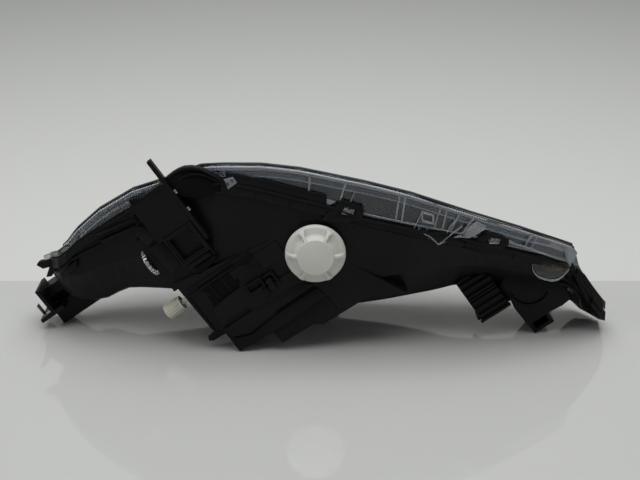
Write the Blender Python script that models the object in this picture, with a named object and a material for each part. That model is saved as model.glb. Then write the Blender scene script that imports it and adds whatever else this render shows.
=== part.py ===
"""Car headlight assembly, lying on its back on three feet with the lens up.

+X runs along the lamp towards the car's fender, -Y is the car's underside, +Z is up.
The car's own axes lie in the XZ plane, turned by CAR_ANGLE: "lateral" runs up and right,
"forward" (where the light goes) runs up and left. Sizes are in millimetres.
"""

import math

import bmesh
import bpy
import numpy as np
from mathutils import Vector

MM = 0.001

# Overall sizes
LEFT_REACH = 362
RIGHT_REACH = 363
UNDERSIDE = 86
TOPSIDE = 101.5
CAR_ANGLE = math.radians(35)

# Walls and fits
HOUSING_WALL = 3.0
LENS_WALL = 3.0
SEAL_GAP = 0.3
SEAL_THICKNESS = 1.4
RIM_DEPTH = 13
RIM_PROUD = 3.5
LENS_RAKE = 0.37
LENS_BOW = 0.07
FAR_SKIRT = 12
BEZEL_DROP = 14
BEZEL_WALL = 2.5
BEZEL_INSET = 7
REST_GAP = 0.3
RUN_GAP = 0.5

# Bulb access cap
CAP_X = -5.5
CAP_Z = 133
CAP_RADIUS = 36.5
CAP_HEIGHT = 17.5
CAP_DISC_RADIUS = CAP_RADIUS - 14
CAP_WALL = 2.6
NECK_BORE = CAP_RADIUS - 8.5
NECK_WALL = 3
NECK_HEIGHT = 8
CAP_SEAT = 5.5
CAP_SEAL = 2.4
CAP_RIB = 3

# Reflectors: place on the car's lateral axis, rim radius, focal length
LOW_LATERAL = 72
LOW_RADIUS = 44
LOW_FOCAL = 17
HIGH_LATERAL = -35
HIGH_RADIUS = 40
HIGH_FOCAL = 12
TURN_RADIUS = 32
TURN_FOCAL = 11
REFLECTOR_WALL = 2
REFLECTOR_FLANGE = 8
FLANGE_THICKNESS = 3
RIM_FORWARD = 116.2

# Sleeves in the mounting tabs
BUSHING_BORE = 3.75
BUSHING_WALL = 1.2

# Carrier and its three ball joints
CARRIER_THICKNESS = 4
BALL_RADIUS = 4.5
BALL_CLEARANCE = 0.6
SOCKET_RADIUS = 8
STUD_RADIUS = 3
PIVOT_LATERAL = -66
PIVOT_Y = 58
HORIZONTAL_LATERAL = 24

# Aim drives
KNOB_FORWARD = 141.5
KNOB_RADIUS = 9.3
KNOB_LENGTH = 24
KNOB_LATERAL = -134
SHAFT_RADIUS = 3.5
GEAR_RADIUS = 9
GEAR_THICKNESS = 6
STAR_RADIUS = 15
STAR_FORWARD = 211

NEAR_FACE = UNDERSIDE - 5
VERTICAL_Y = -(NEAR_FACE - HOUSING_WALL - 6 - GEAR_RADIUS)
KNOB_Y = VERTICAL_Y + GEAR_RADIUS + SHAFT_RADIUS + 1.5
STAR_Y = VERTICAL_Y - 6
TRANSFER_Y = STAR_Y + 2 * SHAFT_RADIUS + RUN_GAP


# ---------------------------------------------------------------- materials and empties

def material(name, colour, roughness, metallic=0.0, transmission=0.0):
    made = bpy.data.materials.new(name)
    made.use_nodes = True
    shader = made.node_tree.nodes["Principled BSDF"]
    shader.inputs["Base Color"].default_value = (*colour, 1)
    shader.inputs["Roughness"].default_value = roughness
    shader.inputs["Metallic"].default_value = metallic
    shader.inputs["Transmission Weight"].default_value = transmission
    return made


for old in list(bpy.data.objects):
    bpy.data.objects.remove(old)

BLACK_PLASTIC = material("black_polypropylene", (0.012, 0.013, 0.013), 0.45)
CLEAR = material("clear_polycarbonate", (0.86, 0.9, 0.92), 0.03, 0, 0.9)
RUBBER = material("black_rubber", (0.02, 0.02, 0.02), 0.7)
GREY_PLASTIC = material("grey_plastic", (0.3, 0.3, 0.3), 0.5)
CHROME = material("bright_metallised", (0.85, 0.85, 0.86), 0.08, 1)
AMBER = material("amber_plastic", (0.75, 0.2, 0.01), 0.15, 0, 0.5)
NYLON = material("natural_nylon", (0.72, 0.7, 0.58), 0.45)
CAP_PLASTIC = material("light_grey_plastic", (0.62, 0.62, 0.57), 0.4)
STEEL = material("zinc_plated_steel", (0.6, 0.6, 0.58), 0.3, 1)
BOARD = material("circuit_board", (0.02, 0.12, 0.06), 0.5)


def empty(name, location, parent=None):
    made = bpy.data.objects.new(name, None)
    made.location = Vector(location) * MM
    if parent is None:
        made.rotation_euler = (0, -CAR_ANGLE, 0)
    made.parent = parent
    bpy.context.collection.objects.link(made)
    return made


CAR = empty("car_axes", (0, 0, 0))
TURN_X, TURN_Z = -LEFT_REACH + 122, 92
TURN = empty("turn_signal_axis", (TURN_X, 0, TURN_Z))
LEFT_FOOT = empty("left_foot_frame", (-LEFT_REACH + 31, 25, 0))
RIGHT_BOX = empty("right_box_frame", (RIGHT_REACH - 158.5, -8, 23.5))
RIGHT_FOOT = empty("right_foot_frame", (RIGHT_REACH - 89, 0, 0))
MARKER = empty("side_marker_axis", (RIGHT_REACH - 76, -18, 92))
VENTS = [empty(f"vent_frame_{k}", place) for k, place in enumerate(((-190, 48, 62), (112, 48, 58)))]


# ---------------------------------------------------------------- mesh building

def add_object(name, points, faces, surface, parent=None, location=(0, 0, 0), axis="up"):
    mesh = bpy.data.meshes.new(name)
    mesh.from_pydata([Vector(p) * MM for p in points], [], faces)
    bm = bmesh.new()
    bm.from_mesh(mesh)
    bmesh.ops.recalc_face_normals(bm, faces=bm.faces)
    bm.to_mesh(mesh)
    bm.free()
    made = bpy.data.objects.new(name, mesh)
    made.location = Vector(location) * MM
    made.rotation_euler = {
        "up": (0, 0, 0),
        "lateral": (0, math.pi / 2, 0),
        "near": (math.pi / 2, 0, 0),
        "far": (-math.pi / 2, 0, 0),
    }[axis]
    made.parent = parent
    if surface:
        mesh.materials.append(surface)
    bpy.context.collection.objects.link(made)
    return made


def loft(loops):
    """Points and faces of a closed solid through loops that all have as many points."""
    count = len(loops[0])
    points = [p for loop in loops for p in loop]
    faces = []
    for k in range(len(loops) - 1):
        a, b = k * count, (k + 1) * count
        for i in range(count):
            j = (i + 1) % count
            faces.append((a + i, a + j, b + j, b + i))
    last = (len(loops) - 1) * count
    faces.append(tuple(range(count)))
    faces.append(tuple(range(last, last + count)))
    return points, faces


def block(x, y, z):
    loops = [[(u, v, w) for v, w in ((y[0], z[0]), (y[1], z[0]), (y[1], z[1]), (y[0], z[1]))] for u in x]
    return loft(loops)


def plate(outline, y):
    """A flat outline of (lateral, forward) points, extruded along Y."""
    return loft([[(u, v, w) for u, w in outline] for v in y])


def turned(profile, steps=24, closed=False):
    """Points and faces of (radius, height) points turned about local Z."""
    points, rings = [], []
    for radius, height in profile:
        if radius == 0:
            rings.append([len(points)] * steps)
            points.append((0, 0, height))
            continue
        rings.append(list(range(len(points), len(points) + steps)))
        for k in range(steps):
            a = 2 * math.pi * k / steps
            points.append((radius * math.cos(a), radius * math.sin(a), height))
    pairs = list(zip(rings, rings[1:]))
    if closed:
        pairs.append((rings[-1], rings[0]))
    faces = []
    for low, high in pairs:
        for k in range(steps):
            j = (k + 1) % steps
            corners = tuple(dict.fromkeys((low[k], low[j], high[j], high[k])))
            if len(corners) > 2:
                faces.append(corners)
    return points, faces


def rod(radius, start, end):
    return [(0, start), (radius, start), (radius, end), (0, end)]


def tube(outer, inner, start, end):
    return [(outer, start), (outer, end), (inner, end), (inner, start)]


def smooth(made, angle=40):
    made.data.shade_smooth()
    made.data.set_sharp_from_angle(angle=math.radians(angle))
    return made


def turned_object(name, profile, surface, parent, location, axis="up", steps=24, closed=False):
    points, faces = turned(profile, steps, closed)
    return smooth(add_object(name, points, faces, surface, parent, location, axis))


def hidden(collection, made):
    made.hide_render = True
    made.display_type = "WIRE"
    bpy.context.collection.objects.unlink(made)
    collection.objects.link(made)
    return made


def group(name):
    made = bpy.data.collections.new(name)
    bpy.context.scene.collection.children.link(made)
    return made


def boolean(target, collection, operation, solver="EXACT"):
    step = target.modifiers.new(collection.name, "BOOLEAN")
    step.operation = operation
    step.operand_type = "COLLECTION"
    step.collection = collection
    step.solver = solver


# ---------------------------------------------------------------- lamp outline

# Underside edge of the lens: place along X, inset from UNDERSIDE, crest height, seam height.
# The wing's places count from the left tip, the fender end's from the right tip.
WING_EDGE = (
    (21, 82, 104, 96), (26, 66, 109, 101), (37, 50, 117, 108), (49, 43, 128, 118),
    (62, 42, 146, 131), (92, 41, 173, 151),
)
CORE_EDGE = (
    (-227, 36, 200, 179), (-185, 28, 216, 196), (-142, 16, 236, 214), (-116, 10, 239, 221),
    (-69, 6, 240, 213), (-24, 2, 236, 202), (12, 0, 229, 194), (54, 0, 220, 178), (108, 0, 206, 166),
)
FENDER_EDGE = (
    (183, 6, 180, 149), (120, 20, 156, 128), (49, 45, 124, 101), (41, 48, 98, 86),
    (25, 54, 72, 60), (12, 60, 54, 42), (0.9, 66, 42, 30),
)
# Topside edge of the lens: place, inset from TOPSIDE.
WING_FAR = ((21, 92), (32, 68), (57, 42), (82, 28))
CORE_FAR = ((-200, 6), (-100, -2), (0, 0), (100, 6))
FENDER_FAR = ((163, 18), (63, 36), (23, 53), (8, 78), (0.9, 88))
# Rear of the shell: place, mid-wall inset and height, lower corner inset and height.
WING_BACK = (
    (21, 82, 90, 83, 80), (37, 54, 86, 66, 56), (57, 46, 84, 66, 42), (83, 42, 96, 66, 42),
    (123, 40, 110, 56, 63),
)
CORE_BACK = (
    (-181, 28, 120, 44, 65), (-120, 10, 110, 24, 62), (-60, 6, 95, 12, 56), (0, 6, 90, 12, 54),
    (60, 8, 95, 26, 55),
)
FENDER_BACK = (
    (222, 20, 105, 52, 60), (189, 28, 105, 58, 66), (133, 40, 95, 66, 62), (63, 56, 70, 74, 45),
    (26, 62, 50, 72, 33), (0.9, 72, 28, 76, 24),
)


def along_lamp(wing, core, fender):
    rows = [(-LEFT_REACH + r[0], *r[1:]) for r in wing]
    rows += list(core)
    rows += [(RIGHT_REACH - r[0], *r[1:]) for r in fender]
    return np.array(rows, float)


def eased(table):
    """The table with rows added on smooth curves that never overshoot, at most STATION apart."""
    step = np.diff(table[:, 0])[:, None]
    slope = np.diff(table[:, 1:], axis=0) / step
    product = slope[:-1] * slope[1:]
    middle = np.zeros_like(product)
    np.divide(2 * product, slope[:-1] + slope[1:], out=middle, where=product > 0)
    tangent = np.vstack([slope[:1], middle, slope[-1:]])
    rows = [table[0]]
    for i in range(len(step)):
        width = step[i, 0]
        for t in np.linspace(0, 1, math.ceil(width / STATION) + 1)[1:]:
            start = (2 * t**3 - 3 * t**2 + 1) * table[i, 1:] + (t**3 - 2 * t**2 + t) * width * tangent[i]
            end = (3 * t**2 - 2 * t**3) * table[i + 1, 1:] + (t**3 - t**2) * width * tangent[i + 1]
            rows.append(np.array([table[i, 0] + t * width, *(start + end)]))
    return np.array(rows)


STATION = 15
EDGE = eased(along_lamp(WING_EDGE, CORE_EDGE, FENDER_EDGE))
FAR = eased(along_lamp(WING_FAR, CORE_FAR, FENDER_FAR))
BACK = eased(along_lamp(WING_BACK, CORE_BACK, FENDER_BACK))


def read(table, column, x):
    return float(np.interp(x, table[:, 0], table[:, column]))


def near_y(x):
    return -(UNDERSIDE - read(EDGE, 1, x))


def far_y(x):
    return TOPSIDE - read(FAR, 1, x)


def face_z(x, y):
    """Height of the lens face over a point of the plan."""
    width = far_y(x) - near_y(x)
    t = (y - near_y(x)) / width
    return read(EDGE, 2, x) - width * (LENS_RAKE * t + LENS_BOW * t * t)


def foot(x):
    """Width of the flat strip on each side of the seam, narrower at the lamp's tips."""
    return min(5, 0.3 * (far_y(x) - near_y(x)))


def seam(x):
    """Underside and topside points of the seam between lens and housing."""
    near = (near_y(x), read(EDGE, 3, x))
    far = (far_y(x), face_z(x, far_y(x)) - FAR_SKIRT)
    return near, far


def inset_loop(loop, amount):
    """The loop with every side moved in by the amount. Loops run anticlockwise in (y, z)."""
    count = len(loop)
    lines = []
    for i in range(count):
        a, b = np.array(loop[i]), np.array(loop[(i + 1) % count])
        run = (b - a) / np.linalg.norm(b - a)
        lines.append((a + amount * np.array((-run[1], run[0])), run))
    moved = []
    for i in range(count):
        (p, u), (q, v) = lines[i - 1], lines[i]
        cross = u[0] * v[1] - u[1] * v[0]
        if abs(cross) < 0.05:
            moved.append(tuple(q))
            continue
        t = ((q - p)[0] * v[1] - (q - p)[1] * v[0]) / cross
        moved.append(tuple(p + t * u))
    return moved


def rounded(before, corner, after, amount, steps=3):
    """Points of a curve that cuts the corner by the amount."""
    start = corner + (before - corner) * min(0.45, amount / np.linalg.norm(before - corner))
    end = corner + (after - corner) * min(0.45, amount / np.linalg.norm(after - corner))
    return [
        tuple(start * (1 - t) ** 2 + corner * 2 * t * (1 - t) + end * t * t) for t in np.linspace(0, 1, steps)
    ]


def shell_loop(x, drop):
    """The housing's section at x, anticlockwise from the underside seam, its top lowered by drop."""
    near, far = (np.array(p) for p in seam(x))
    mid = np.array((-(UNDERSIDE - read(BACK, 1, x)), read(BACK, 2, x)))
    mid[1] = min(mid[1], near[1] - 6)
    low = np.array((-(UNDERSIDE - read(BACK, 3, x)), read(BACK, 4, x)))
    low[1] = min(low[1], mid[1] - 3)
    far_low = np.array((max(far[0] - 12, low[0] + 4), min(low[1] - 0.2 * (far[0] - low[0]), far[1] - 16)))
    far_low[1] = max(far_low[1], 6)
    down = np.array((0, drop))
    loop = [tuple(near - down), tuple(mid)]
    loop += rounded(mid, low, far_low, 16)
    loop += rounded(low, far_low, far, 14)
    loop.append(tuple(far - down))
    return loop + [(far[0] - foot(x), far[1] - drop), (near[0] + foot(x), near[1] - drop)]


def lens_loop(x, lift):
    """The lens's section at x, anticlockwise from the underside seam, its foot raised by lift."""
    near, far = seam(x)
    ys = np.linspace(near[0] + 2, far[0] - 2, 6)
    loop = [(near[0] + foot(x), near[1] + lift), (far[0] - foot(x), far[1] + lift)]
    loop += [(far[0], far[1] + lift), (far[0], face_z(x, far[0]) - 2)]
    loop += [(y, face_z(x, y)) for y in ys[::-1]]
    loop += [(near[0], face_z(x, near[0]) - 2), (near[0], near[1] + lift)]
    return loop


def stations(start, end, table):
    inner = [x for x in table[:, 0] if start + 4 < x < end - 4]
    return [start, *inner, end]


LEFT_END, RIGHT_END = EDGE[0, 0], EDGE[-1, 0]
INNER = stations(LEFT_END + 3.5, RIGHT_END - 3.5, EDGE)
SPAN = [LEFT_END, *INNER, RIGHT_END]


def section_solid(section, places):
    return loft([[(x, y, z) for y, z in section(x)] for x in places])


def chamber_loop(x):
    """Inside of the housing, carried on upwards past its rim."""
    loop = shell_loop(x, SEAM_HALF)[:-2]
    near, far = loop[0], loop[-1]
    return inset_loop([*loop, (far[0], far[1] + 30), (near[0], near[1] + 30)], HOUSING_WALL)


def lens_inside_loop(x):
    """Inside of the lens, carried on downwards past its foot."""
    loop = lens_loop(x, SEAM_HALF)[2:]
    far, near = loop[0], loop[-1]
    return inset_loop([*loop, (near[0], near[1] - 20), (far[0], far[1] - 20)], LENS_WALL)


# ---------------------------------------------------------------- housing

SCREW_RADIUS = 1.6
BRACKET_Y = -NEAR_FACE + 2
VENT_BORE = 4
TURN_FLOOR = -22
MARKER_FLOOR = -34
VENT_FLOOR = -4
SEAM_HALF = SEAL_THICKNESS / 2 + SEAL_GAP
housing = smooth(
    add_object("housing", *section_solid(lambda x: shell_loop(x, SEAM_HALF), SPAN), BLACK_PLASTIC)
)
added, cut = group("housing_added"), group("housing_cut")
ENVELOPE_INSET = 0.8
envelope_shape = section_solid(lambda x: inset_loop(shell_loop(x, SEAM_HALF), ENVELOPE_INSET), SPAN[1:-1])
envelope = hidden(group("housing_envelope"), add_object("shell_envelope", *envelope_shape, None))


def rim_loop(x):
    near, far = seam(x)
    return [
        (near[0] - RIM_PROUD, near[1] - SEAM_HALF), (near[0] - RIM_PROUD, near[1] - RIM_DEPTH),
        (far[0] + RIM_PROUD, far[1] - RIM_DEPTH), (far[0] + RIM_PROUD, far[1] - SEAM_HALF),
        (far[0] - foot(x), far[1] - SEAM_HALF), (near[0] + foot(x), near[1] - SEAM_HALF),
    ]


hidden(added, add_object("rim", *section_solid(rim_loop, SPAN), None))


def add_block(name, lateral, y, forward, parent=CAR):
    return hidden(added, add_object(name, *block(lateral, y, forward), None, parent))


def cut_block(name, lateral, y, forward, parent=CAR):
    return hidden(cut, add_object(name, *block(lateral, y, forward), None, parent))


def cut_round(name, radius, start, end, parent, location, axis="up"):
    return hidden(cut, turned_object(name, rod(radius, start, end), None, parent, location, axis))


# Lower body: steps down to the middle foot
BODY = (
    (-94, 175), (-92, 100), (-81, 92), (-81, 57.2), (-33, 54), (-31, 36), (15, 34.5), (25, 27.5), (88, 26),
    (106, 16), (132, 3), (60, 150),
)
BODY_INSIDE = (
    (-90, 172), (-89, 103), (-78, 95), (-78, 60.5), (-30, 57.5), (-28, 40), (16, 38.5), (26, 31.5), (89, 30),
    (107, 20), (122, 12), (56, 145),
)
hidden(added, add_object("body", *plate(BODY, (-NEAR_FACE, 55)), None, CAR))
hidden(cut, add_object("body_inside", *plate(BODY_INSIDE, (-NEAR_FACE + 3, 52)), None, CAR))

# Adjuster column and the bracket box above it
add_block("bracket_box", (-77, -28), (-NEAR_FACE - 2, -52), (228, 258))
add_block("bracket_box_top", (-77, -28), (-NEAR_FACE - 2, -NEAR_FACE + 15), (256, 285))
add_block("adjuster_column", (-101, -60), (-NEAR_FACE + 4, -36), (166, 244))
add_block("column_step", (-92, -50), (-NEAR_FACE + 1, -30), (146, 172))
add_block("pocket_frame", (-67, -31), (-NEAR_FACE - 4, -60), (190, 227))
cut_block("pocket", (-64, -34), (-NEAR_FACE - 9, -NEAR_FACE + 4), (193, 224))
add_block("column_link", (-67, -30), (-NEAR_FACE + 3, -40), (172, 240))
cut_block("bracket_box_inside", (-73, -31), (-NEAR_FACE + 2, -56), (236, 255))

# Raised boxes on the underside face
add_block("lower_ledge", (-36, 74), (-NEAR_FACE - 3, -70), (74, 108))
add_block("upper_ledge", (-30, 40), (-NEAR_FACE - 1.5, -70), (128, 150))
cut_block("latch_recess", (-70, -26), (-NEAR_FACE - 6, -NEAR_FACE + 2), (126, 138))
cut_block("slot_recess", (-62, -30), (-NEAR_FACE - 6, -NEAR_FACE + 2), (168, 180))

# Left foot, mounting tab and ribs
add_block("left_foot", (0, 66), (-16, 16), (0, 52), LEFT_FOOT)
cut_block("left_foot_slot", (8, 30), (-20, -4), (26, 38), LEFT_FOOT)
add_block("left_tab", (-14, 22), (-38, 8), (21, 26), LEFT_FOOT)
add_block("left_tab_rib", (4, 9), (-38, 8), (24, 60), LEFT_FOOT)
LEFT_BOLT = (-4.5, -26)

# Fender end: ribbed box with its tab, foot bracket, marker lamp tower
add_block("right_box", (0, 40), (-32, 32), (0, 62), RIGHT_BOX)
cut_block("right_box_inside", (3, 37), (-29, 29), (3, 40), RIGHT_BOX)
for k, height in enumerate((14, 30, 46)):
    add_block(f"right_box_rib_{k}", (1, 39), (-34, -30), (height, height + 3), RIGHT_BOX)
add_block("right_tab", (-6, 46), (-14, 22), (-4, 1), RIGHT_BOX)
add_block("right_foot", (0, 29), (-24, 30), (0, 56), RIGHT_FOOT)
cut_block("right_foot_slot", (5, 24), (-30, 24), (5, 34), RIGHT_FOOT)
RIGHT_BOLT = (20, 4)

# Cap seat and its neck on the underside face
SEAT = [
    (0, -14), (CAP_RADIUS + 1.5, -14), (CAP_RADIUS + 1.5, CAP_SEAT), (NECK_BORE + NECK_WALL, CAP_SEAT),
    (NECK_BORE + NECK_WALL, CAP_SEAT + NECK_HEIGHT), (0, CAP_SEAT + NECK_HEIGHT),
]
hidden(added, turned_object("cap_seat", SEAT, None, None, (CAP_X, -NEAR_FACE, CAP_Z), "near", 40))

# Inner chamber, open to the front
hidden(
    cut,
    add_object(
        "chamber",
        *section_solid(chamber_loop, INNER),
        None,
    ),
)
cut_round("neck_bore", NECK_BORE, -20, CAP_SEAT + NECK_HEIGHT + 1, None, (CAP_X, -NEAR_FACE, CAP_Z), "near")

# Gear shelf, pivot post and horizontal screw boss stand inside the chamber, added after it is cut
kept = group("housing_inside")


def keep_block(name, lateral, y, forward):
    return hidden(kept, add_object(name, *block(lateral, y, forward), None, CAR))


SHELF_TOP = KNOB_FORWARD - GEAR_THICKNESS / 2 - 3.5
keep_block(
    "gear_shelf", (PIVOT_LATERAL - 18, PIVOT_LATERAL + 11), (-NEAR_FACE + 1, VERTICAL_Y + 10),
    (SHELF_TOP - 3.5, SHELF_TOP),
)
POST_TOP = RIM_FORWARD - CARRIER_THICKNESS - 20
keep_block("pivot_post", (PIVOT_LATERAL - 7, PIVOT_LATERAL + 7), (PIVOT_Y - 7, PIVOT_Y + 7), (68, POST_TOP))
BOSS_START = 6
keep_block(
    "screw_boss",
    (HORIZONTAL_LATERAL - 8, HORIZONTAL_LATERAL + 8),
    (PIVOT_Y - 8, PIVOT_Y + 8),
    (BOSS_START, 58),
)

# Holes drilled last
drilled = group("housing_drilled")


def drill(name, radius, start, end, parent, location, axis="up"):
    return hidden(drilled, turned_object(name, rod(radius, start, end), None, parent, location, axis, 16))


BOLT_HOLE = BUSHING_BORE + BUSHING_WALL + REST_GAP
drill("left_bolt_hole", BOLT_HOLE, 15, 32, LEFT_FOOT, (LEFT_BOLT[0], LEFT_BOLT[1], 0))
drill("right_bolt_hole", BOLT_HOLE, -12, 8, RIGHT_BOX, (RIGHT_BOLT[0], RIGHT_BOLT[1], 0))
drill("knob_bore", SHAFT_RADIUS + RUN_GAP, 0, 40, CAR, (-116, KNOB_Y, KNOB_FORWARD), "lateral")
drill("stud_bore", STUD_RADIUS + RUN_GAP, SHELF_TOP - 8, SHELF_TOP + 4, CAR, (PIVOT_LATERAL, VERTICAL_Y, 0))
WELLS = [("turn", TURN, 17, TURN_FLOOR, 10), ("marker", MARKER, 15.5, MARKER_FLOOR, 10)]
WELLS += [(frame.name, frame, 9.5, VENT_FLOOR, VENT_BORE) for frame in VENTS]
for name, frame, radius, floor, bore in WELLS:
    outside = rod(radius + HOUSING_WALL, -90, floor + 4)
    wall = hidden(kept, turned_object(name + "_well_wall", outside, None, frame, (0, 0, 0)))
    inside = wall.modifiers.new("inside_the_shell", "BOOLEAN")
    inside.operation = "INTERSECT"
    inside.object = envelope
    drill(name + "_well", radius, -120, floor, frame, (0, 0, 0))
    drill(name + "_bore", bore, floor - 5, floor + 12, frame, (0, 0, 0))
drill("star_bore", SHAFT_RADIUS + RUN_GAP, 0, 22, CAR, (-104, STAR_Y, STAR_FORWARD), "lateral")
drill("transfer_bore", SHAFT_RADIUS + RUN_GAP, KNOB_FORWARD, STAR_FORWARD + 7, CAR, (-92, TRANSFER_Y, 0))
drill("screw_bore", STUD_RADIUS + RUN_GAP, 0, 66, CAR, (HORIZONTAL_LATERAL, PIVOT_Y, 0))
drill("pivot_hole", STUD_RADIUS + REST_GAP, POST_TOP - 14, POST_TOP + 9, CAR, (PIVOT_LATERAL, PIVOT_Y, 0))

BRACKET_SCREWS = [(BRACKET_Y, f) for f in (242, 268)]
for k, (y, forward) in enumerate(BRACKET_SCREWS):
    drill(f"bracket_hole_{k}", SCREW_RADIUS + REST_GAP, -42, -20, CAR, (0, y, forward), "lateral")

boolean(housing, added, "UNION")
boolean(housing, cut, "DIFFERENCE", "MANIFOLD")
boolean(housing, kept, "UNION", "MANIFOLD")
boolean(housing, drilled, "DIFFERENCE", "MANIFOLD")

# ---------------------------------------------------------------- lens and seal

lens = smooth(add_object("outer_lens", *section_solid(lambda x: lens_loop(x, SEAM_HALF), SPAN), CLEAR))
lens_cut = group("lens_cut")
hidden(
    lens_cut,
    add_object(
        "lens_inside",
        *section_solid(lens_inside_loop, INNER),
        None,
    ),
)
boolean(lens, lens_cut, "DIFFERENCE", "MANIFOLD")


def seal_loop(x, inset, half):
    near, far = seam(x)
    return [
        (near[0] + inset, near[1] + half), (near[0] + inset, near[1] - half),
        (near[0] + foot(x), near[1] - half), (far[0] - foot(x), far[1] - half),
        (far[0] - inset, far[1] - half), (far[0] - inset, far[1] + half),
        (far[0] - foot(x), far[1] + half), (near[0] + foot(x), near[1] + half),
    ]


seal = add_object("lens_seal", *section_solid(lambda x: seal_loop(x, 0.2, SEAL_THICKNESS / 2), INNER), RUBBER)
seal_cut = group("seal_cut")
SEAL_INNER = [INNER[0] + LENS_WALL, *INNER[1:-1], INNER[-1] - LENS_WALL]
hidden(
    seal_cut,
    add_object("seal_inside", *section_solid(lambda x: seal_loop(x, LENS_WALL, 12), SEAL_INNER), None),
)
boolean(seal, seal_cut, "DIFFERENCE", "MANIFOLD")


# ---------------------------------------------------------------- reflectors


def bowl(radius, focal, hole, rim):
    """Profile of a paraboloid shell with a flange, its apex below the rim. A hole of 0 closes the apex."""
    apex = rim - radius * radius / (4 * focal)
    radii = np.linspace(hole, radius, 6)
    inner = [(float(r), float(apex + r * r / (4 * focal))) for r in radii]
    outer = [(r + (REFLECTOR_WALL if r > hole else 0), h - REFLECTOR_WALL) for r, h in inner]
    outer[-1] = (radius + REFLECTOR_WALL, rim - REFLECTOR_WALL / 2)
    flange = [
        (radius + REFLECTOR_WALL, rim), (radius + REFLECTOR_FLANGE, rim),
        (radius + REFLECTOR_FLANGE, rim + FLANGE_THICKNESS), (radius, rim + FLANGE_THICKNESS),
    ]
    return outer + flange + inner[::-1]


def bulb_axis_forward(radius, focal):
    return RIM_FORWARD - radius * radius / (4 * focal) + focal


BULB_BORE = 8
BULB_RADIUS = 5.5
BOSS_RADIUS = 12
SCREW_ANGLES = (50, 170, 290)
low = turned_object(
    "low_beam_reflector", bowl(LOW_RADIUS, LOW_FOCAL, 0, RIM_FORWARD), CHROME, CAR,
    (LOW_LATERAL, 0, 0), steps=24,
)
high = turned_object(
    "high_beam_reflector", bowl(HIGH_RADIUS, HIGH_FOCAL, BULB_BORE, RIM_FORWARD), CHROME, CAR,
    (HIGH_LATERAL, 0, 0), steps=24, closed=True,
)
LOW_BULB_FORWARD = bulb_axis_forward(LOW_RADIUS, LOW_FOCAL)
LOW_BOSS_END = LOW_RADIUS + 16
HIGH_BOSS_START = RIM_FORWARD - HIGH_RADIUS * HIGH_RADIUS / (4 * HIGH_FOCAL) - 9
low_added, low_cut = group("low_added"), group("low_cut")
LOW_BULB_AT = (LOW_LATERAL, 0, LOW_BULB_FORWARD)
low_boss = rod(BOSS_RADIUS, 36, LOW_BOSS_END)
hidden(low_added, turned_object("low_boss", low_boss, None, CAR, LOW_BULB_AT, "near"))
hidden(low_cut, turned_object("low_bore", rod(BULB_BORE, 20, 80), None, CAR, LOW_BULB_AT, "near"))
high_added = group("high_added")
hidden(
    high_added,
    turned_object(
        "high_boss", tube(BOSS_RADIUS, BULB_BORE, HIGH_BOSS_START, HIGH_BOSS_START + 9.5), None, CAR,
        (HIGH_LATERAL, 0, 0), closed=True,
    ),
)
screw_holes = group("reflector_screw_holes")
REFLECTOR_SCREWS = []
for label, lateral, radius in (("low", LOW_LATERAL, LOW_RADIUS), ("high", HIGH_LATERAL, HIGH_RADIUS)):
    for k, degrees in enumerate(SCREW_ANGLES):
        a, reach = math.radians(degrees), radius + REFLECTOR_FLANGE - 2.6
        spot = (lateral + reach * math.cos(a), reach * math.sin(a), 0)
        REFLECTOR_SCREWS.append((f"{label}_reflector_screw_{k + 1}", spot))
        hole = rod(SCREW_RADIUS + REST_GAP, RIM_FORWARD - 20, RIM_FORWARD + 6)
        hidden(screw_holes, turned_object(f"{label}_screw_hole_{k}", hole, None, CAR, spot, steps=10))
boolean(low, low_added, "UNION", "MANIFOLD")
boolean(low, low_cut, "DIFFERENCE", "MANIFOLD")
boolean(low, screw_holes, "DIFFERENCE", "MANIFOLD")
boolean(high, high_added, "UNION")
boolean(high, screw_holes, "DIFFERENCE")

TURN_RIM = TURN_RADIUS * TURN_RADIUS / (4 * TURN_FOCAL)
turned_object(
    "turn_signal_reflector", bowl(TURN_RADIUS, TURN_FOCAL, 9, TURN_RIM), CHROME, TURN, (0, 0, 0), steps=24,
    closed=True,
)
turned_object("side_marker_reflector", bowl(9, 5, 7, 6), AMBER, MARKER, (0, 0, 0), closed=True)

# ---------------------------------------------------------------- carrier, its ball joints and screws

PLATE_TOP = RIM_FORWARD - REST_GAP
PLATE = PLATE_TOP - CARRIER_THICKNESS
BALL_FORWARD = (PLATE_TOP + PLATE) / 2
LOW_ARC = [
    (LOW_LATERAL + 55 * math.cos(a), 55 * math.sin(a))
    for a in np.radians(np.linspace(-90, 68, 12))
]
PLATE_EDGE = [
    (PIVOT_LATERAL - 14, VERTICAL_Y - 11), (PIVOT_LATERAL + 16, VERTICAL_Y - 11), *LOW_ARC,
    (HORIZONTAL_LATERAL + 12, PIVOT_Y + 11), (PIVOT_LATERAL - 14, PIVOT_Y + 11),
]
plate_faces = [[(u, v, w) for u, v in PLATE_EDGE] for w in (PLATE, PLATE_TOP)]
carrier = add_object("reflector_carrier", *loft(plate_faces), GREY_PLASTIC, CAR)
carrier_cut = group("carrier_cut")


def cut_carrier(name, radius, lateral, y, steps=32):
    hole = rod(radius, PLATE - 5, PLATE_TOP + 5)
    hidden(carrier_cut, turned_object(name, hole, None, CAR, (lateral, y, 0), steps=steps))


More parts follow.
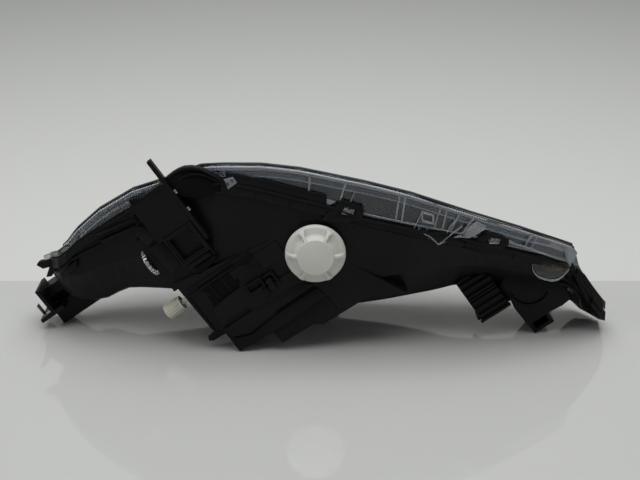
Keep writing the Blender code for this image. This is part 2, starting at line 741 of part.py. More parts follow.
cut_carrier("low_opening", LOW_RADIUS + REFLECTOR_WALL + 0.8, LOW_LATERAL, 0)
cut_carrier("high_opening", HIGH_RADIUS + REFLECTOR_WALL + 0.8, HIGH_LATERAL, 0)
notch = block((LOW_LATERAL - 14, LOW_LATERAL + 14), (-LOW_BOSS_END - 3, -30), (PLATE - 3, PLATE_TOP + 3))
hidden(carrier_cut, add_object("bulb_notch", *notch, None, CAR))
SOCKETS = (
    ("vertical", PIVOT_LATERAL, VERTICAL_Y, 1), ("horizontal", HORIZONTAL_LATERAL, PIVOT_Y, -1),
    ("pivot", PIVOT_LATERAL, PIVOT_Y, -1),
)
CAVITY = BALL_RADIUS + BALL_CLEARANCE
for label, lateral, y, side in SOCKETS:
    cut_carrier(label + "_socket_hole", SOCKET_RADIUS + 0.8, lateral, y, 20)
    back, mouth = BALL_FORWARD - side * 8, BALL_FORWARD + side * 6.5
    floor = back + side * 2.5
    cup = [
        (0, back), (SOCKET_RADIUS, back), (SOCKET_RADIUS, mouth),
        (CAVITY, mouth), (CAVITY, floor), (0, floor),
    ]
    turned_object(label + "_ball_socket", cup, NYLON, CAR, (lateral, y, 0), steps=20)
boolean(carrier, carrier_cut, "DIFFERENCE")
boolean(carrier, screw_holes, "DIFFERENCE")

for name, spot in REFLECTOR_SCREWS:
    head = RIM_FORWARD + FLANGE_THICKNESS + REST_GAP
    profile = [
        (0, PLATE - 2), (SCREW_RADIUS, PLATE - 2), (SCREW_RADIUS, head),
        (2.5, head), (2.5, head + 2), (0, head + 2.3),
    ]
    turned_object(name, profile, STEEL, CAR, spot, steps=10)


def ball_stud(name, lateral, y, start, surface):
    """A straight stud along the car's forward axis with a ball on its carrier end."""
    side = 1 if start > BALL_FORWARD else -1
    first = math.asin(STUD_RADIUS / BALL_RADIUS)
    arc = [
        (BALL_RADIUS * math.sin(a), BALL_FORWARD + side * BALL_RADIUS * math.cos(a))
        for a in np.linspace(first, math.pi, 7)
    ]
    arc[-1] = (0, BALL_FORWARD - side * BALL_RADIUS)
    profile = [(0, start), (STUD_RADIUS, start), *arc]
    return turned_object(name, profile, surface, CAR, (lateral, y, 0), steps=16)


VERTICAL_STUD_END = KNOB_FORWARD + 17
ball_stud("vertical_aim_stud", PIVOT_LATERAL, VERTICAL_Y, VERTICAL_STUD_END, STEEL)
ball_stud("horizontal_aim_stud", HORIZONTAL_LATERAL, PIVOT_Y, BOSS_START - 8, STEEL)
ball_stud("pivot_stud", PIVOT_LATERAL, PIVOT_Y, POST_TOP - 13, STEEL)

# ---------------------------------------------------------------- aim drives

KNOB_INNER = KNOB_LATERAL + KNOB_LENGTH
turned_object(
    "vertical_aim_knob",
    [
        (0, KNOB_LATERAL), (KNOB_RADIUS - 1.2, KNOB_LATERAL), (KNOB_RADIUS, KNOB_LATERAL + 1.2),
        (KNOB_RADIUS, KNOB_INNER), (SHAFT_RADIUS, KNOB_INNER), (SHAFT_RADIUS, PIVOT_LATERAL - 7),
        (SHAFT_RADIUS + 1, PIVOT_LATERAL - 7), (SHAFT_RADIUS + 1, PIVOT_LATERAL + 7), (0, PIVOT_LATERAL + 7),
    ],
    NYLON, CAR, (0, KNOB_Y, KNOB_FORWARD), "lateral",
)
GEAR_BORE = STUD_RADIUS + RUN_GAP
GEAR_LOW = KNOB_FORWARD - GEAR_THICKNESS / 2
turned_object(
    "vertical_aim_gear",
    [
        (GEAR_BORE, SHELF_TOP + REST_GAP), (6, SHELF_TOP + REST_GAP), (6, GEAR_LOW), (GEAR_RADIUS, GEAR_LOW),
        (GEAR_RADIUS, GEAR_LOW + GEAR_THICKNESS), (GEAR_BORE, GEAR_LOW + GEAR_THICKNESS),
    ],
    NYLON, CAR, (PIVOT_LATERAL, VERTICAL_Y, 0), closed=True,
)
turned_object(
    "horizontal_aim_knob", tube(10, GEAR_BORE, BOSS_START - 9, BOSS_START - REST_GAP), NYLON, CAR,
    (HORIZONTAL_LATERAL, PIVOT_Y, 0), closed=True,
)
STAR_FACE = -101 - REST_GAP
turned_object(
    "screwdriver_star_wheel",
    [
        (0, STAR_FACE - 5), (STAR_RADIUS, STAR_FACE - 5), (STAR_RADIUS, STAR_FACE - 1),
        (SHAFT_RADIUS, STAR_FACE - 1), (SHAFT_RADIUS, -88), (0, -88),
    ],
    NYLON, CAR, (0, STAR_Y, STAR_FORWARD), "lateral",
)
turned_object(
    "aim_transfer_shaft",
    rod(SHAFT_RADIUS, KNOB_FORWARD + SHAFT_RADIUS + RUN_GAP, STAR_FORWARD + 5),
    STEEL, CAR, (-92, TRANSFER_Y, 0), steps=16,
)

# ---------------------------------------------------------------- bulbs and sockets


def glass(radius, start, end):
    return [
        (0, start), (radius, start), (radius, end - radius * 0.8),
        (radius * 0.6, end - radius * 0.2), (0, end),
    ]


def flipped(profile):
    return [(r, -h) for r, h in profile]


low_end = LOW_BOSS_END + REST_GAP
turned_object(
    "low_beam_bulb", flipped(glass(BULB_RADIUS, -LOW_BOSS_END + 8, 6)), CLEAR, CAR, LOW_BULB_AT, "near", 16
)
turned_object(
    "low_beam_bulb_base",
    [
        (0, LOW_BOSS_END - 7.6), (BULB_BORE - 0.5, LOW_BOSS_END - 7.6), (BULB_BORE - 0.5, low_end),
        (11, low_end), (11, low_end + 3), (7, low_end + 3), (7, low_end + 13), (0, low_end + 13),
    ],
    GREY_PLASTIC, CAR, LOW_BULB_AT, "near",
)
high_end = HIGH_BOSS_START - REST_GAP
turned_object(
    "high_beam_bulb", glass(BULB_RADIUS, HIGH_BOSS_START + 6, HIGH_BOSS_START + 32), CLEAR, CAR,
    (HIGH_LATERAL, 0, 0), steps=16,
)
turned_object(
    "high_beam_bulb_base",
    [
        (0, high_end - 9), (7, high_end - 9), (7, high_end - 3), (12, high_end - 3), (12, high_end),
        (BULB_BORE - 0.5, high_end), (BULB_BORE - 0.5, HIGH_BOSS_START + 5.6), (0, HIGH_BOSS_START + 5.6),
    ],
    GREY_PLASTIC, CAR, (HIGH_LATERAL, 0, 0),
)
SMALL_LAMPS = (("turn_signal", TURN, TURN_FLOOR, 20, 7.5), ("side_marker", MARKER, MARKER_FLOOR, -4, 5))
for label, frame, tower, tip, width in SMALL_LAMPS:
    seat = tower - REST_GAP
    turned_object(
        label + "_gasket", tube(14, 10.2, seat - 1.7, seat), RUBBER, frame, (0, 0, 0), steps=20, closed=True
    )
    flange = seat - 1.7 - REST_GAP
    turned_object(
        label + "_socket",
        [
            (0, flange - 12), (8, flange - 12), (9, flange - 3.5), (14, flange - 3.5), (14, flange),
            (9.4, flange), (9.4, tower + 9), (0, tower + 9),
        ],
        GREY_PLASTIC, frame, (0, 0, 0), steps=20,
    )
    turned_object(label + "_bulb", glass(width, tower + 9.4, tip), AMBER, frame, (0, 0, 0), steps=16)

# ---------------------------------------------------------------- bulb access cap

CAP_AT = (CAP_X, -NEAR_FACE, CAP_Z)
NECK_RADIUS = NECK_BORE + NECK_WALL
SEAL_LOW = CAP_SEAT + REST_GAP
turned_object(
    "cap_seal", tube(CAP_RADIUS - 2, NECK_RADIUS + 0.4, SEAL_LOW, SEAL_LOW + CAP_SEAL), RUBBER, None, CAP_AT,
    "near", 40, True,
)
CAP_LOW = SEAL_LOW + CAP_SEAL + REST_GAP
CAP_TOP = CAP_LOW + CAP_HEIGHT
cap = turned_object(
    "bulb_access_cap",
    [
        (NECK_RADIUS + 1.2, CAP_LOW), (CAP_RADIUS, CAP_LOW), (CAP_RADIUS, CAP_LOW + 6),
        (CAP_RADIUS - 3, CAP_LOW + 8.5), (CAP_DISC_RADIUS + 2, CAP_TOP - 3), (CAP_DISC_RADIUS, CAP_TOP),
        (0, CAP_TOP), (0, CAP_TOP - CAP_WALL), (CAP_DISC_RADIUS - 1.5, CAP_TOP - CAP_WALL),
        (CAP_DISC_RADIUS - 0.5, CAP_TOP - 5.5), (NECK_RADIUS + 1.2, CAP_LOW + 7),
    ],
    CAP_PLASTIC, None, CAP_AT, "near", 40, True,
)
cap_ribs = group("cap_ribs")
for k in range(6):
    a = k * math.pi / 3
    reach = (CAP_DISC_RADIUS - 4, CAP_RADIUS - 0.3)
    rib = block(reach, (-CAP_RIB / 2, CAP_RIB / 2), (CAP_TOP - 9, CAP_TOP - 1.2))
    spoke = hidden(cap_ribs, add_object(f"cap_rib_{k}", *rib, None, None, CAP_AT, "near"))
    spoke.rotation_euler = (math.pi / 2, a, 0)
    spoke.rotation_mode = "XYZ"
boolean(cap, cap_ribs, "UNION")

# ---------------------------------------------------------------- bezel and light guide


def bezel_loop(x):
    near, far = seam(x)
    first, last = near[0] + BEZEL_INSET, far[0] - BEZEL_INSET
    ys = np.linspace(first, last, 6)
    over = [(y, face_z(x, y) - BEZEL_DROP) for y in ys]
    under = [(y, z - BEZEL_WALL) for y, z in over]
    under[0] = (first + BEZEL_WALL, under[0][1])
    under[-1] = (last - BEZEL_WALL, under[-1][1])
    low_near = min(near[1] - 2, under[0][1] - 1)
    low_far = min(far[1] + 2, under[-1][1] - 1)
    return [
        (first, low_near), (first + BEZEL_WALL, low_near), *under,
        (last - BEZEL_WALL, low_far), (last, low_far), *over[::-1],
    ]


BEZEL_PLACES = stations(-LEFT_REACH + 66, RIGHT_REACH - 56, EDGE)
bezel = smooth(add_object("bezel", *section_solid(bezel_loop, BEZEL_PLACES), BLACK_PLASTIC))
bezel_cut = group("bezel_openings")
OPENINGS = (
    (CAR, LOW_LATERAL, LOW_RADIUS + 14), (CAR, HIGH_LATERAL, HIGH_RADIUS + 4), (TURN, 0, TURN_RADIUS + 2),
    (MARKER, 0, 22),
)
for k, (frame, lateral, radius) in enumerate(OPENINGS):
    opening = turned_object(f"opening_{k}", rod(radius, 0, 330), None, frame, (lateral, 0, 0), steps=32)
    hidden(bezel_cut, opening)
boolean(bezel, bezel_cut, "DIFFERENCE")

GUIDE_RADIUS = 2.3
GUIDE_DROP = 8.3
BOARD_X = -LEFT_REACH + 63
BOARD_Y = near_y(BOARD_X) + BEZEL_INSET + 7
BOARD_Z = face_z(BOARD_X, BOARD_Y) - GUIDE_DROP
guide_curve = bpy.data.curves.new("drl_light_guide", "CURVE")
guide_curve.dimensions = "3D"
guide_curve.bevel_depth = GUIDE_RADIUS * MM
guide_curve.bevel_resolution = 1
guide_curve.use_fill_caps = True
guide_curve.materials.append(CLEAR)
places = np.linspace(BOARD_X + 1 + REST_GAP, RIGHT_REACH - 80, 26)
spline = guide_curve.splines.new("POLY")
spline.points.add(len(places) - 1)
for point, x in zip(spline.points, places):
    y = near_y(x) + BEZEL_INSET + 7
    point.co = (x * MM, y * MM, (face_z(x, y) - GUIDE_DROP) * MM, 1)
bpy.context.collection.objects.link(bpy.data.objects.new("drl_light_guide", guide_curve))
add_object(
    "drl_led_board",
    *block((BOARD_X - 1, BOARD_X + 1), (BOARD_Y - 4, BOARD_Y + 5), (BOARD_Z - 5, BOARD_Z + 0.5)), BOARD,
)

# ---------------------------------------------------------------- bracket, sleeves, clip and vents

BRACKET_LATERAL = -28 + REST_GAP
BRACKET_THICKNESS = 5
bracket_shape = block(
    (BRACKET_LATERAL, BRACKET_LATERAL + BRACKET_THICKNESS), (-NEAR_FACE - 3, BRACKET_Y + 4.5), (200, 317)
)
bracket = add_object("upper_mounting_bracket", *bracket_shape, BLACK_PLASTIC, CAR)
bracket_cut = group("bracket_cut")
for k, (y, forward) in enumerate(BRACKET_SCREWS):
    hole = rod(SCREW_RADIUS + REST_GAP, BRACKET_LATERAL - 5, BRACKET_LATERAL + 12)
    hidden(bracket_cut, turned_object(f"bracket_bore_{k}", hole, None, CAR, (0, y, forward), "lateral", 10))
    head = BRACKET_LATERAL + BRACKET_THICKNESS + REST_GAP
    profile = [
        (0, head - 14), (SCREW_RADIUS, head - 14), (SCREW_RADIUS, head),
        (3.4, head), (3.4, head + 2.2), (0, head + 2.6),
    ]
    turned_object(f"bracket_screw_{k + 1}", profile, STEEL, CAR, (0, y, forward), "lateral", 12)
boolean(bracket, bracket_cut, "DIFFERENCE")

for name, frame, spot, low_end, high_end in (
    ("inner_tab_bushing", LEFT_FOOT, LEFT_BOLT, 21, 26), ("outer_tab_bushing", RIGHT_BOX, RIGHT_BOLT, -4, 1),
):
    sleeve = tube(BUSHING_BORE + BUSHING_WALL, BUSHING_BORE, low_end - 0.2, high_end + 0.2)
    turned_object(name, sleeve, STEEL, frame, (spot[0], spot[1], 0), steps=20, closed=True)

CLIP = ((-8, 26.3), (2, 26.3), (2, 27.3), (-7, 27.3), (-7, 42.8), (-8, 42.8))
add_object("tab_spring_clip", *plate(CLIP, (-34, -24)), STEEL, LEFT_FOOT)

for k, frame in enumerate(VENTS):
    turned_object(
        f"vent_cap_{k + 1}",
        [
            (0, VENT_FLOOR - 6), (7, VENT_FLOOR - 6), (8, VENT_FLOOR - 4), (8, VENT_FLOOR - REST_GAP),
            (VENT_BORE - 0.3, VENT_FLOOR - REST_GAP), (VENT_BORE - 0.3, VENT_FLOOR + 6), (0, VENT_FLOOR + 6),
        ],
        RUBBER, frame, (0, 0, 0), steps=20,
    )

# ---------------------------------------------------------------- harness connector

CONNECTOR_WALL = 1.5
connector_shape = block((-24, -2), (-NEAR_FACE - 8, -NEAR_FACE - REST_GAP), (112, 125))
connector = add_object("harness_connector", *connector_shape, BLACK_PLASTIC, CAR)
connector_cut = group("connector_cut")
mouth = block(
    (-24 + CONNECTOR_WALL, -2 - CONNECTOR_WALL), (-NEAR_FACE - 10, -NEAR_FACE - 2),
    (112 + CONNECTOR_WALL, 125 - CONNECTOR_WALL),
)
hidden(connector_cut, add_object("connector_mouth", *mouth, None, CAR))
boolean(connector, connector_cut, "DIFFERENCE")
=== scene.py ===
"""A car headlight assembly lying on its three rear feet, lens up, on a pale glossy table."""

import math

import bmesh
import bpy
from mathutils import Matrix, Vector


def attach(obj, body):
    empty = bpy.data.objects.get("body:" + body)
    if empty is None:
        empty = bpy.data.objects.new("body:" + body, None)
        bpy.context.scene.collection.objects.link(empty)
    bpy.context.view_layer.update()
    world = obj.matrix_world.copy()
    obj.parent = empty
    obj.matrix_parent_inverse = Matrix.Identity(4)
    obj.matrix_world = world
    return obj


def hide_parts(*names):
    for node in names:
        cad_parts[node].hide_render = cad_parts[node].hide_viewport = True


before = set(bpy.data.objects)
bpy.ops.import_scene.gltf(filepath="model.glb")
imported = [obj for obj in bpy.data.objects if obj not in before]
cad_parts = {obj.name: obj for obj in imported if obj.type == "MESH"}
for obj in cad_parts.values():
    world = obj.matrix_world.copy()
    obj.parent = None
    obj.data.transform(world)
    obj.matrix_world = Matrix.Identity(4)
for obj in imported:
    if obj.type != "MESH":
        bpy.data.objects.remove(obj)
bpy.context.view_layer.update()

# ---- Table, light and camera -------------------------------------------------------------
# The lamp lies near the back edge of a pale lacquered table, under broad soft lamps.
# The camera stands at the lamp's middle, 20 degrees above the table, with a long lens.


def linear(code):
    """An sRGB hex colour as linear red, green, blue and alpha."""
    parts = [int(code[k:k + 2], 16) / 255 for k in (1, 3, 5)]
    return (*(p / 12.92 if p <= 0.04045 else ((p + 0.055) / 1.055) ** 2.4 for p in parts), 1)


def node(finish, kind, settings=None, links=None):
    """Adds a shader node to a material, sets its values and joins its inputs."""
    new = finish.node_tree.nodes.new("ShaderNode" + kind)
    for key, value in (settings or {}).items():
        if key in new.inputs:
            new.inputs[key].default_value = value
        else:
            setattr(new, key, value)
    for key, socket in (links or {}).items():
        finish.node_tree.links.new(socket, new.inputs[key])
    return new


def finish_named(name, settings):
    """A new material with one Principled shader, with that shader and its object coordinates."""
    finish = bpy.data.materials.new(name)
    finish.use_nodes = True
    shader = finish.node_tree.nodes["Principled BSDF"]
    for key, value in settings.items():
        shader.inputs[key].default_value = value
    return finish, shader, node(finish, "TexCoord").outputs["Object"]


def join(finish, socket, shader, key):
    """Feeds a node's output into one of the shader's sockets."""
    finish.node_tree.links.new(socket, shader.inputs[key])


def deselect():
    """Lets go of everything that is selected."""
    bpy.ops.object.select_all(action="DESELECT")


# Sprayed and polished table lacquer: pale grey, nearly mirror-smooth, with a faint orange peel.
table_lacquer, shader, place = finish_named(
    "table_lacquer", {"Base Color": linear("#c3c4c1"), "IOR": 1.6, "Roughness": 0.035}
)
peel = node(table_lacquer, "TexNoise", {"Scale": 60, "Detail": 2}, {"Vector": place})
bump = node(
    table_lacquer, "Bump", {"Strength": 0.02, "Distance": 0.001}, {"Height": peel.outputs["Fac"]},
)
join(table_lacquer, bump.outputs["Normal"], shader, "Normal")

# The wall behind is matt emulsion paint, with the fine stipple that a roller leaves.
wall_paint, shader, place = finish_named(
    "wall_paint", {"Base Color": linear("#cdcecb"), "Roughness": 0.9},
)
stipple = node(wall_paint, "TexNoise", {"Scale": 300, "Detail": 1}, {"Vector": place})
bump = node(
    wall_paint, "Bump", {"Strength": 0.05, "Distance": 0.001}, {"Height": stipple.outputs["Fac"]},
)
join(wall_paint, bump.outputs["Normal"], shader, "Normal")

for name, finish, size, location, lean in (
    ("table", table_lacquer, (14, 3.0), (0, -1.34, 0), 0),
    ("ground", wall_paint, (14, 9), (0, -1.6, -0.02), 0),
    ("wall", wall_paint, (14, 4), (0, 2.9, 1.98), 90),
):
    deselect()
    bpy.ops.mesh.primitive_plane_add(size=1, location=location, rotation=(math.radians(lean), 0, 0))
    sheet = bpy.context.object
    sheet.name = name
    sheet.scale = (*size, 1)
    bpy.ops.object.transform_apply(location=True, rotation=True, scale=True)
    sheet.data.materials.append(finish)

bpy.context.scene.view_settings.view_transform = "Standard"
room = bpy.data.worlds.new("room")
bpy.context.scene.world = room
room.use_nodes = True
room.node_tree.nodes["Background"].inputs["Color"].default_value = linear("#d9dcdc")
room.node_tree.nodes["Background"].inputs["Strength"].default_value = 0.22
for name, spot, aim, size, power in (
    ("ceiling_softbox", (0.0, -0.3, 2.4), (0, 0, 0), 2.6, 54),
    ("back_softbox", (0.0, 1.2, 2.4), (0, 1.5, 0.0), 2.0, 12),
    ("left_softbox", (-2.4, -1.2, 1.5), (0, 0, 0.1), 1.4, 14),
    ("right_softbox", (2.4, -1.6, 1.3), (0, 0, 0.1), 1.2, 5),
):
    bpy.ops.object.light_add(type="AREA", location=spot)
    lamp = bpy.context.object
    lamp.name = name
    lamp.data.size = size
    lamp.data.energy = power
    lamp.rotation_euler = (Vector(spot) - Vector(aim)).to_track_quat("Z", "Y").to_euler()

bpy.ops.object.camera_add(location=(0, -1.6941, 0.7209), rotation=(math.radians(70.4), 0, 0))
camera = bpy.context.object
camera.data.lens = 80.1
bpy.context.scene.camera = camera

# ---- Housing -----------------------------------------------------------------------------
# The body is one deep injection moulding in black talc-filled polypropylene, with ribs, boxes
# and feet moulded on. Its skin is a fine satin grain with faint handling marks.


def wear(finish, shader, place, dull, bright, grain, marks):
    """Varies roughness in patches of the given size and roughens the skin with a fine grain."""
    patches = node(finish, "TexNoise", {"Scale": marks, "Detail": 4}, {"Vector": place})
    spread = node(
        finish, "MapRange", {"To Min": dull, "To Max": bright}, {"Value": patches.outputs["Fac"]},
    )
    join(finish, spread.outputs["Result"], shader, "Roughness")
    skin = node(finish, "TexNoise", {"Scale": grain, "Detail": 2}, {"Vector": place})
    bump = node(finish, "Bump", {"Strength": 0.25, "Distance": 0.0002}, {"Height": skin.outputs["Fac"]})
    return bump


black_polypropylene, shader, place = finish_named(
    "black_moulded_polypropylene",
    {"Base Color": linear("#0c0d0d"), "IOR": 1.49, "Specular IOR Level": 0.16}
)
bump = wear(black_polypropylene, shader, place, 0.34, 0.5, 900, 9)
edge = node(black_polypropylene, "Bevel", {"Radius": 0.0009})
black_polypropylene.node_tree.links.new(edge.outputs["Normal"], bump.inputs["Normal"])
join(black_polypropylene, bump.outputs["Normal"], shader, "Normal")
dust = node(black_polypropylene, "TexNoise", {"Scale": 14, "Detail": 6}, {"Vector": place})
tone = node(black_polypropylene, "ValToRGB", {}, {"Fac": dust.outputs["Fac"]})
tone.color_ramp.elements[0].position = 0.35
tone.color_ramp.elements[0].color = linear("#0a0b0b")
tone.color_ramp.elements[1].position = 0.75
tone.color_ramp.elements[1].color = linear("#121312")
join(black_polypropylene, tone.outputs["Color"], shader, "Base Color")


def paint(finish, *names):
    """Gives CAD nodes their finish."""
    for name in names:
        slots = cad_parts[name].data.materials
        slots.clear()
        slots.append(finish)


paint(black_polypropylene, "housing", "upper_mounting_bracket", "harness_connector")

# ---- Moulded details on the housing ------------------------------------------------------
# Ribs, ledges and frames of the same black polypropylene, moulded in one with the housing.
# They stiffen the walls, and each has the small round that the mould's edges leave.

CAR_TURN = Matrix.Rotation(math.radians(-35), 4, "Y")
LEVEL = Matrix.Identity(4)


def settle(piece, finish, body, round_edge=0.0, angle=35):
    """Applies the piece's place, rounds its edges and gives it its finish and its body."""
    deselect()
    piece.select_set(True)
    bpy.context.view_layer.objects.active = piece
    bpy.ops.object.transform_apply(location=True, rotation=True, scale=True)
    bpy.ops.object.mode_set(mode="EDIT")
    bpy.ops.mesh.select_all(action="SELECT")
    bpy.ops.mesh.normals_make_consistent(inside=False)
    bpy.ops.object.mode_set(mode="OBJECT")
    if round_edge:
        rounding = piece.modifiers.new("rounding", "BEVEL")
        rounding.width = round_edge / 1000
        rounding.segments = 2
        rounding.limit_method = "ANGLE"
        rounding.angle_limit = math.radians(28)
        bpy.ops.object.modifier_apply(modifier="rounding")
    bpy.ops.object.shade_smooth_by_angle(angle=math.radians(angle))
    piece.data.materials.clear()
    piece.data.materials.append(finish)
    if body:
        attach(piece, body)
    return piece


def bar(name, across, y, up, turn=CAR_TURN):
    """A block between the given limits in millimetres, on the car's axes unless told otherwise."""
    deselect()
    bpy.ops.mesh.primitive_cube_add(size=1)
    piece = bpy.context.object
    piece.name = name
    limits = (across, y, up)
    middle = Vector([sum(pair) / 2000 for pair in limits])
    sides = [abs(pair[1] - pair[0]) / 1000 for pair in limits]
    piece.matrix_world = turn @ Matrix.Translation(middle) @ Matrix.Diagonal((*sides, 1))
    bpy.ops.object.transform_apply(location=True, rotation=True, scale=True)
    return piece


def outline(name, points, y, turn=CAR_TURN):
    """A plate of the given outline in millimetres, extruded from the first y to the second."""
    deselect()
    bpy.ops.mesh.primitive_circle_add(vertices=len(points), radius=1, fill_type="NGON")
    piece = bpy.context.object
    piece.name = name
    for corner, (across, up) in zip(piece.data.vertices, points):
        corner.co = Vector((across, y[0], up)) / 1000
    bpy.ops.object.mode_set(mode="EDIT")
    bpy.ops.mesh.select_all(action="SELECT")
    bpy.ops.mesh.extrude_region_move(TRANSFORM_OT_translate={"value": (0, (y[1] - y[0]) / 1000, 0)})
    bpy.ops.object.mode_set(mode="OBJECT")
    piece.matrix_world = turn
    return piece


def swept(name, path, deep, tall):
    """A strip of the given depth along Y and height along Z, extruded along a path in millimetres."""
    deselect()
    bpy.ops.mesh.primitive_plane_add(size=1)
    piece = bpy.context.object
    piece.name = name
    start = Vector(path[0]) / 1000
    for corner, (side, top) in zip(piece.data.vertices, ((-1, -1), (1, -1), (-1, 1), (1, 1))):
        corner.co = start + Vector((0, side * deep / 2000, top * tall / 2000))
    bpy.ops.object.mode_set(mode="EDIT")
    bpy.ops.mesh.select_all(action="SELECT")
    for here, there in zip(path, path[1:]):
        step = (Vector(there) - Vector(here)) / 1000
        bpy.ops.mesh.extrude_region_move(TRANSFORM_OT_translate={"value": step})
    bpy.ops.object.mode_set(mode="OBJECT")
    return piece


def joined(name, parts):
    """The parts as one object."""
    deselect()
    for part in parts:
        part.select_set(True)
    bpy.context.view_layer.objects.active = parts[0]
    bpy.ops.object.join()
    parts[0].name = name
    return parts[0]


def cut(piece, cutter):
    """Cuts the cutter's shape out of the piece and removes the cutter."""
    for thing in (piece, cutter):
        deselect()
        thing.select_set(True)
        bpy.context.view_layer.objects.active = thing
        bpy.ops.object.transform_apply(location=True, rotation=True, scale=True)
        bpy.ops.object.mode_set(mode="EDIT")
        bpy.ops.mesh.select_all(action="SELECT")
        bpy.ops.mesh.normals_make_consistent(inside=False)
        bpy.ops.object.mode_set(mode="OBJECT")
    deselect()
    piece.select_set(True)
    bpy.context.view_layer.objects.active = piece
    window = piece.modifiers.new("window", "BOOLEAN")
    window.operation = "DIFFERENCE"
    window.object = cutter
    bpy.ops.object.modifier_apply(modifier="window")
    bpy.data.objects.remove(cutter)
    return piece


# The lower body steps down towards the middle foot in overlapping slabs.
slab_high = outline(
    "slab_high",
    [
        (-79, 97), (-75, 123), (-30, 127), (-20, 143), (8, 143), (6, 132), (-5, 120), (-10, 101),
        (-60, 100),
    ],
    (-84.2, -80),
)
settle(slab_high, black_polypropylene, "lamp", 1.0)
slab_low = outline(
    "slab_low",
    [(-79, 93), (-34, 93.5), (-11, 90), (19, 91), (36, 88), (46, 79), (-13, 77), (-56, 71), (-76, 80)],
    (-85.4, -80),
)
settle(slab_low, black_polypropylene, "lamp", 1.2)
slab_foot = outline(
    "slab_foot", [(-80, 58), (-76, 76), (-55, 68), (-13, 72), (46, 73), (48, 60), (-10, 55), (-33, 55)],
    (-83.2, -80),
)
settle(slab_foot, black_polypropylene, "lamp", 1.0)
slab_heel = outline(
    "slab_heel", [(-30, 37), (-31, 51), (-8, 51), (50, 56), (50, 34), (24, 29), (15, 36)], (-82.4, -80)
)
settle(slab_heel, black_polypropylene, "lamp", 0.8)

# A stiffening arm reaches out under the adjuster column.
arm = outline("foot_arm", [(-106.5, 88), (-104, 93), (-80, 96), (-80, 84), (-101, 84.5)], (-73, -66))
settle(arm, black_polypropylene, "lamp", 0.6)

# The latch for the harness plug: a U-shaped wall with a spring tongue inside.
latch_parts = [
    bar("latch_wall_left", (-5.5, -3.6), (-86.6, -80), (99, 123)),
    bar("latch_wall_right", (12.6, 14.4), (-86.6, -80), (102, 121)),
    bar("latch_wall_top", (-5.5, 14.4), (-86.2, -80), (120.5, 122.5)),
    bar("latch_tongue", (1, 7.5), (-87.2, -80), (101, 117)),
    bar("latch_hook", (0, 8.5), (-88.4, -80), (112, 115.5)),
    bar("latch_stop", (-12, -6), (-84.8, -80), (96, 97.8)),
]
for part in latch_parts:
    settle(part, black_polypropylene, None, 0.4)
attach(joined("plug_latch", latch_parts), "lamp")

# Wall ribs stand in the hollow between the adjuster column and the lower body.
rib_parts = [
    bar(f"wall_rib_{k}", (-88 + 0.6 * k, -6 + 2 * k), (-83.6, -79), (158 - 7 * k, 159.6 - 7 * k))
    for k in range(2)
]
rib_parts += [
    bar(f"cross_rib_{k}", (-60 + 17 * k, -58.4 + 17 * k), (-82.8, -79), (128, 152))
    for k in range(3)
]
rib_parts.append(bar("column_edge", (-91, -88.6), (-83.4, -60), (98, 150)))
for part in rib_parts:
    settle(part, black_polypropylene, None, 0.4)
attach(joined("wall_ribs", rib_parts), "lamp")

# Thin plates of near-black dull plastic lie over the deep pockets as painted shade, for the darkness
# that falls in them.
painted_shade_black, shader, place = finish_named(
    "painted_shade_plastic",
    {"Base Color": linear("#050505"), "Roughness": 0.75, "Specular IOR Level": 0.15}
)
bump = wear(painted_shade_black, shader, place, 0.7, 0.85, 700, 12)
join(painted_shade_black, bump.outputs["Normal"], shader, "Normal")
shade_plate_parts = [
    outline("column_slot_shade", [(-62, 169.5), (-61, 177.5), (-32, 177.5), (-31, 170)], (-82.3, -79.5)),
    outline("ledge_slot_shade", [(-13, 72.6), (45, 74), (46, 77.6), (-12, 76)], (-84, -80)),
    outline(
        "wall_hollow_shade",
        [(-72, 125), (-66, 137), (-74, 155), (-22, 156), (-17, 149), (-23, 133), (-40, 129)],
        (-81.8, -79.5),
    ),
    outline("neck_hollow_shade", [(-15, 149), (2, 158), (8, 148.5), (-4, 144.5)], (-83, -80)),
]
for part in shade_plate_parts:
    settle(part, painted_shade_black, None, 0.3)
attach(joined("slot_shade_plates", shade_plate_parts), "lamp")

# The adjuster column carries two round-cornered pads, and its pockets have raised lips.
pad_high = outline(
    "column_pad_high", [(-87, 259), (-74, 251), (-71.5, 236), (-91, 231), (-94, 250)], (-80.6, -60),
)
settle(pad_high, black_polypropylene, "lamp", 2.2)
pad_low = outline(
    "column_pad_low", [(-92, 230), (-69, 229), (-70, 192), (-88, 184), (-92.5, 206)], (-80.2, -60)
)
settle(pad_low, black_polypropylene, "lamp", 2.6)
lip_parts = [
    bar("pocket_lip_left", (-69.5, -66.6), (-86.6, -79), (188, 229)),
    bar("pocket_lip_right", (-31.4, -28.6), (-86.6, -79), (188, 229)),
    bar("pocket_lip_top", (-69.5, -28.6), (-86.8, -79), (226.4, 229.4)),
    bar("pocket_lip_low", (-69.5, -28.6), (-86.8, -79), (187.4, 190.4)),
    bar("pocket_step", (-67, -34), (-83.6, -79), (179.6, 186.4)),
]
for part in lip_parts:
    settle(part, black_polypropylene, None, 0.9)
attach(joined("pocket_lips", lip_parts), "lamp")

# Comb of small ribs beside the bracket, which locates the bumper's edge strip.
comb_parts = [
    bar(f"comb_{k}", (-74 + 3.1 * k, -72.4 + 3.1 * k), (-84, -68), (283, 292 - 1.2 * k))
    for k in range(13)
]
comb_parts.append(bar("comb_bed", (-76, -32), (-82, -68), (279, 286)))
comb_parts += [
    bar(f"comb_low_{k}", (-84 + 2.6 * k, -82.6 + 2.6 * k), (-80, -66), (262 + 2 * k, 272 + 2 * k))
    for k in range(3)
]
for part in comb_parts:
    settle(part, black_polypropylene, None, 0.3)
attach(joined("bumper_comb", comb_parts), "lamp")

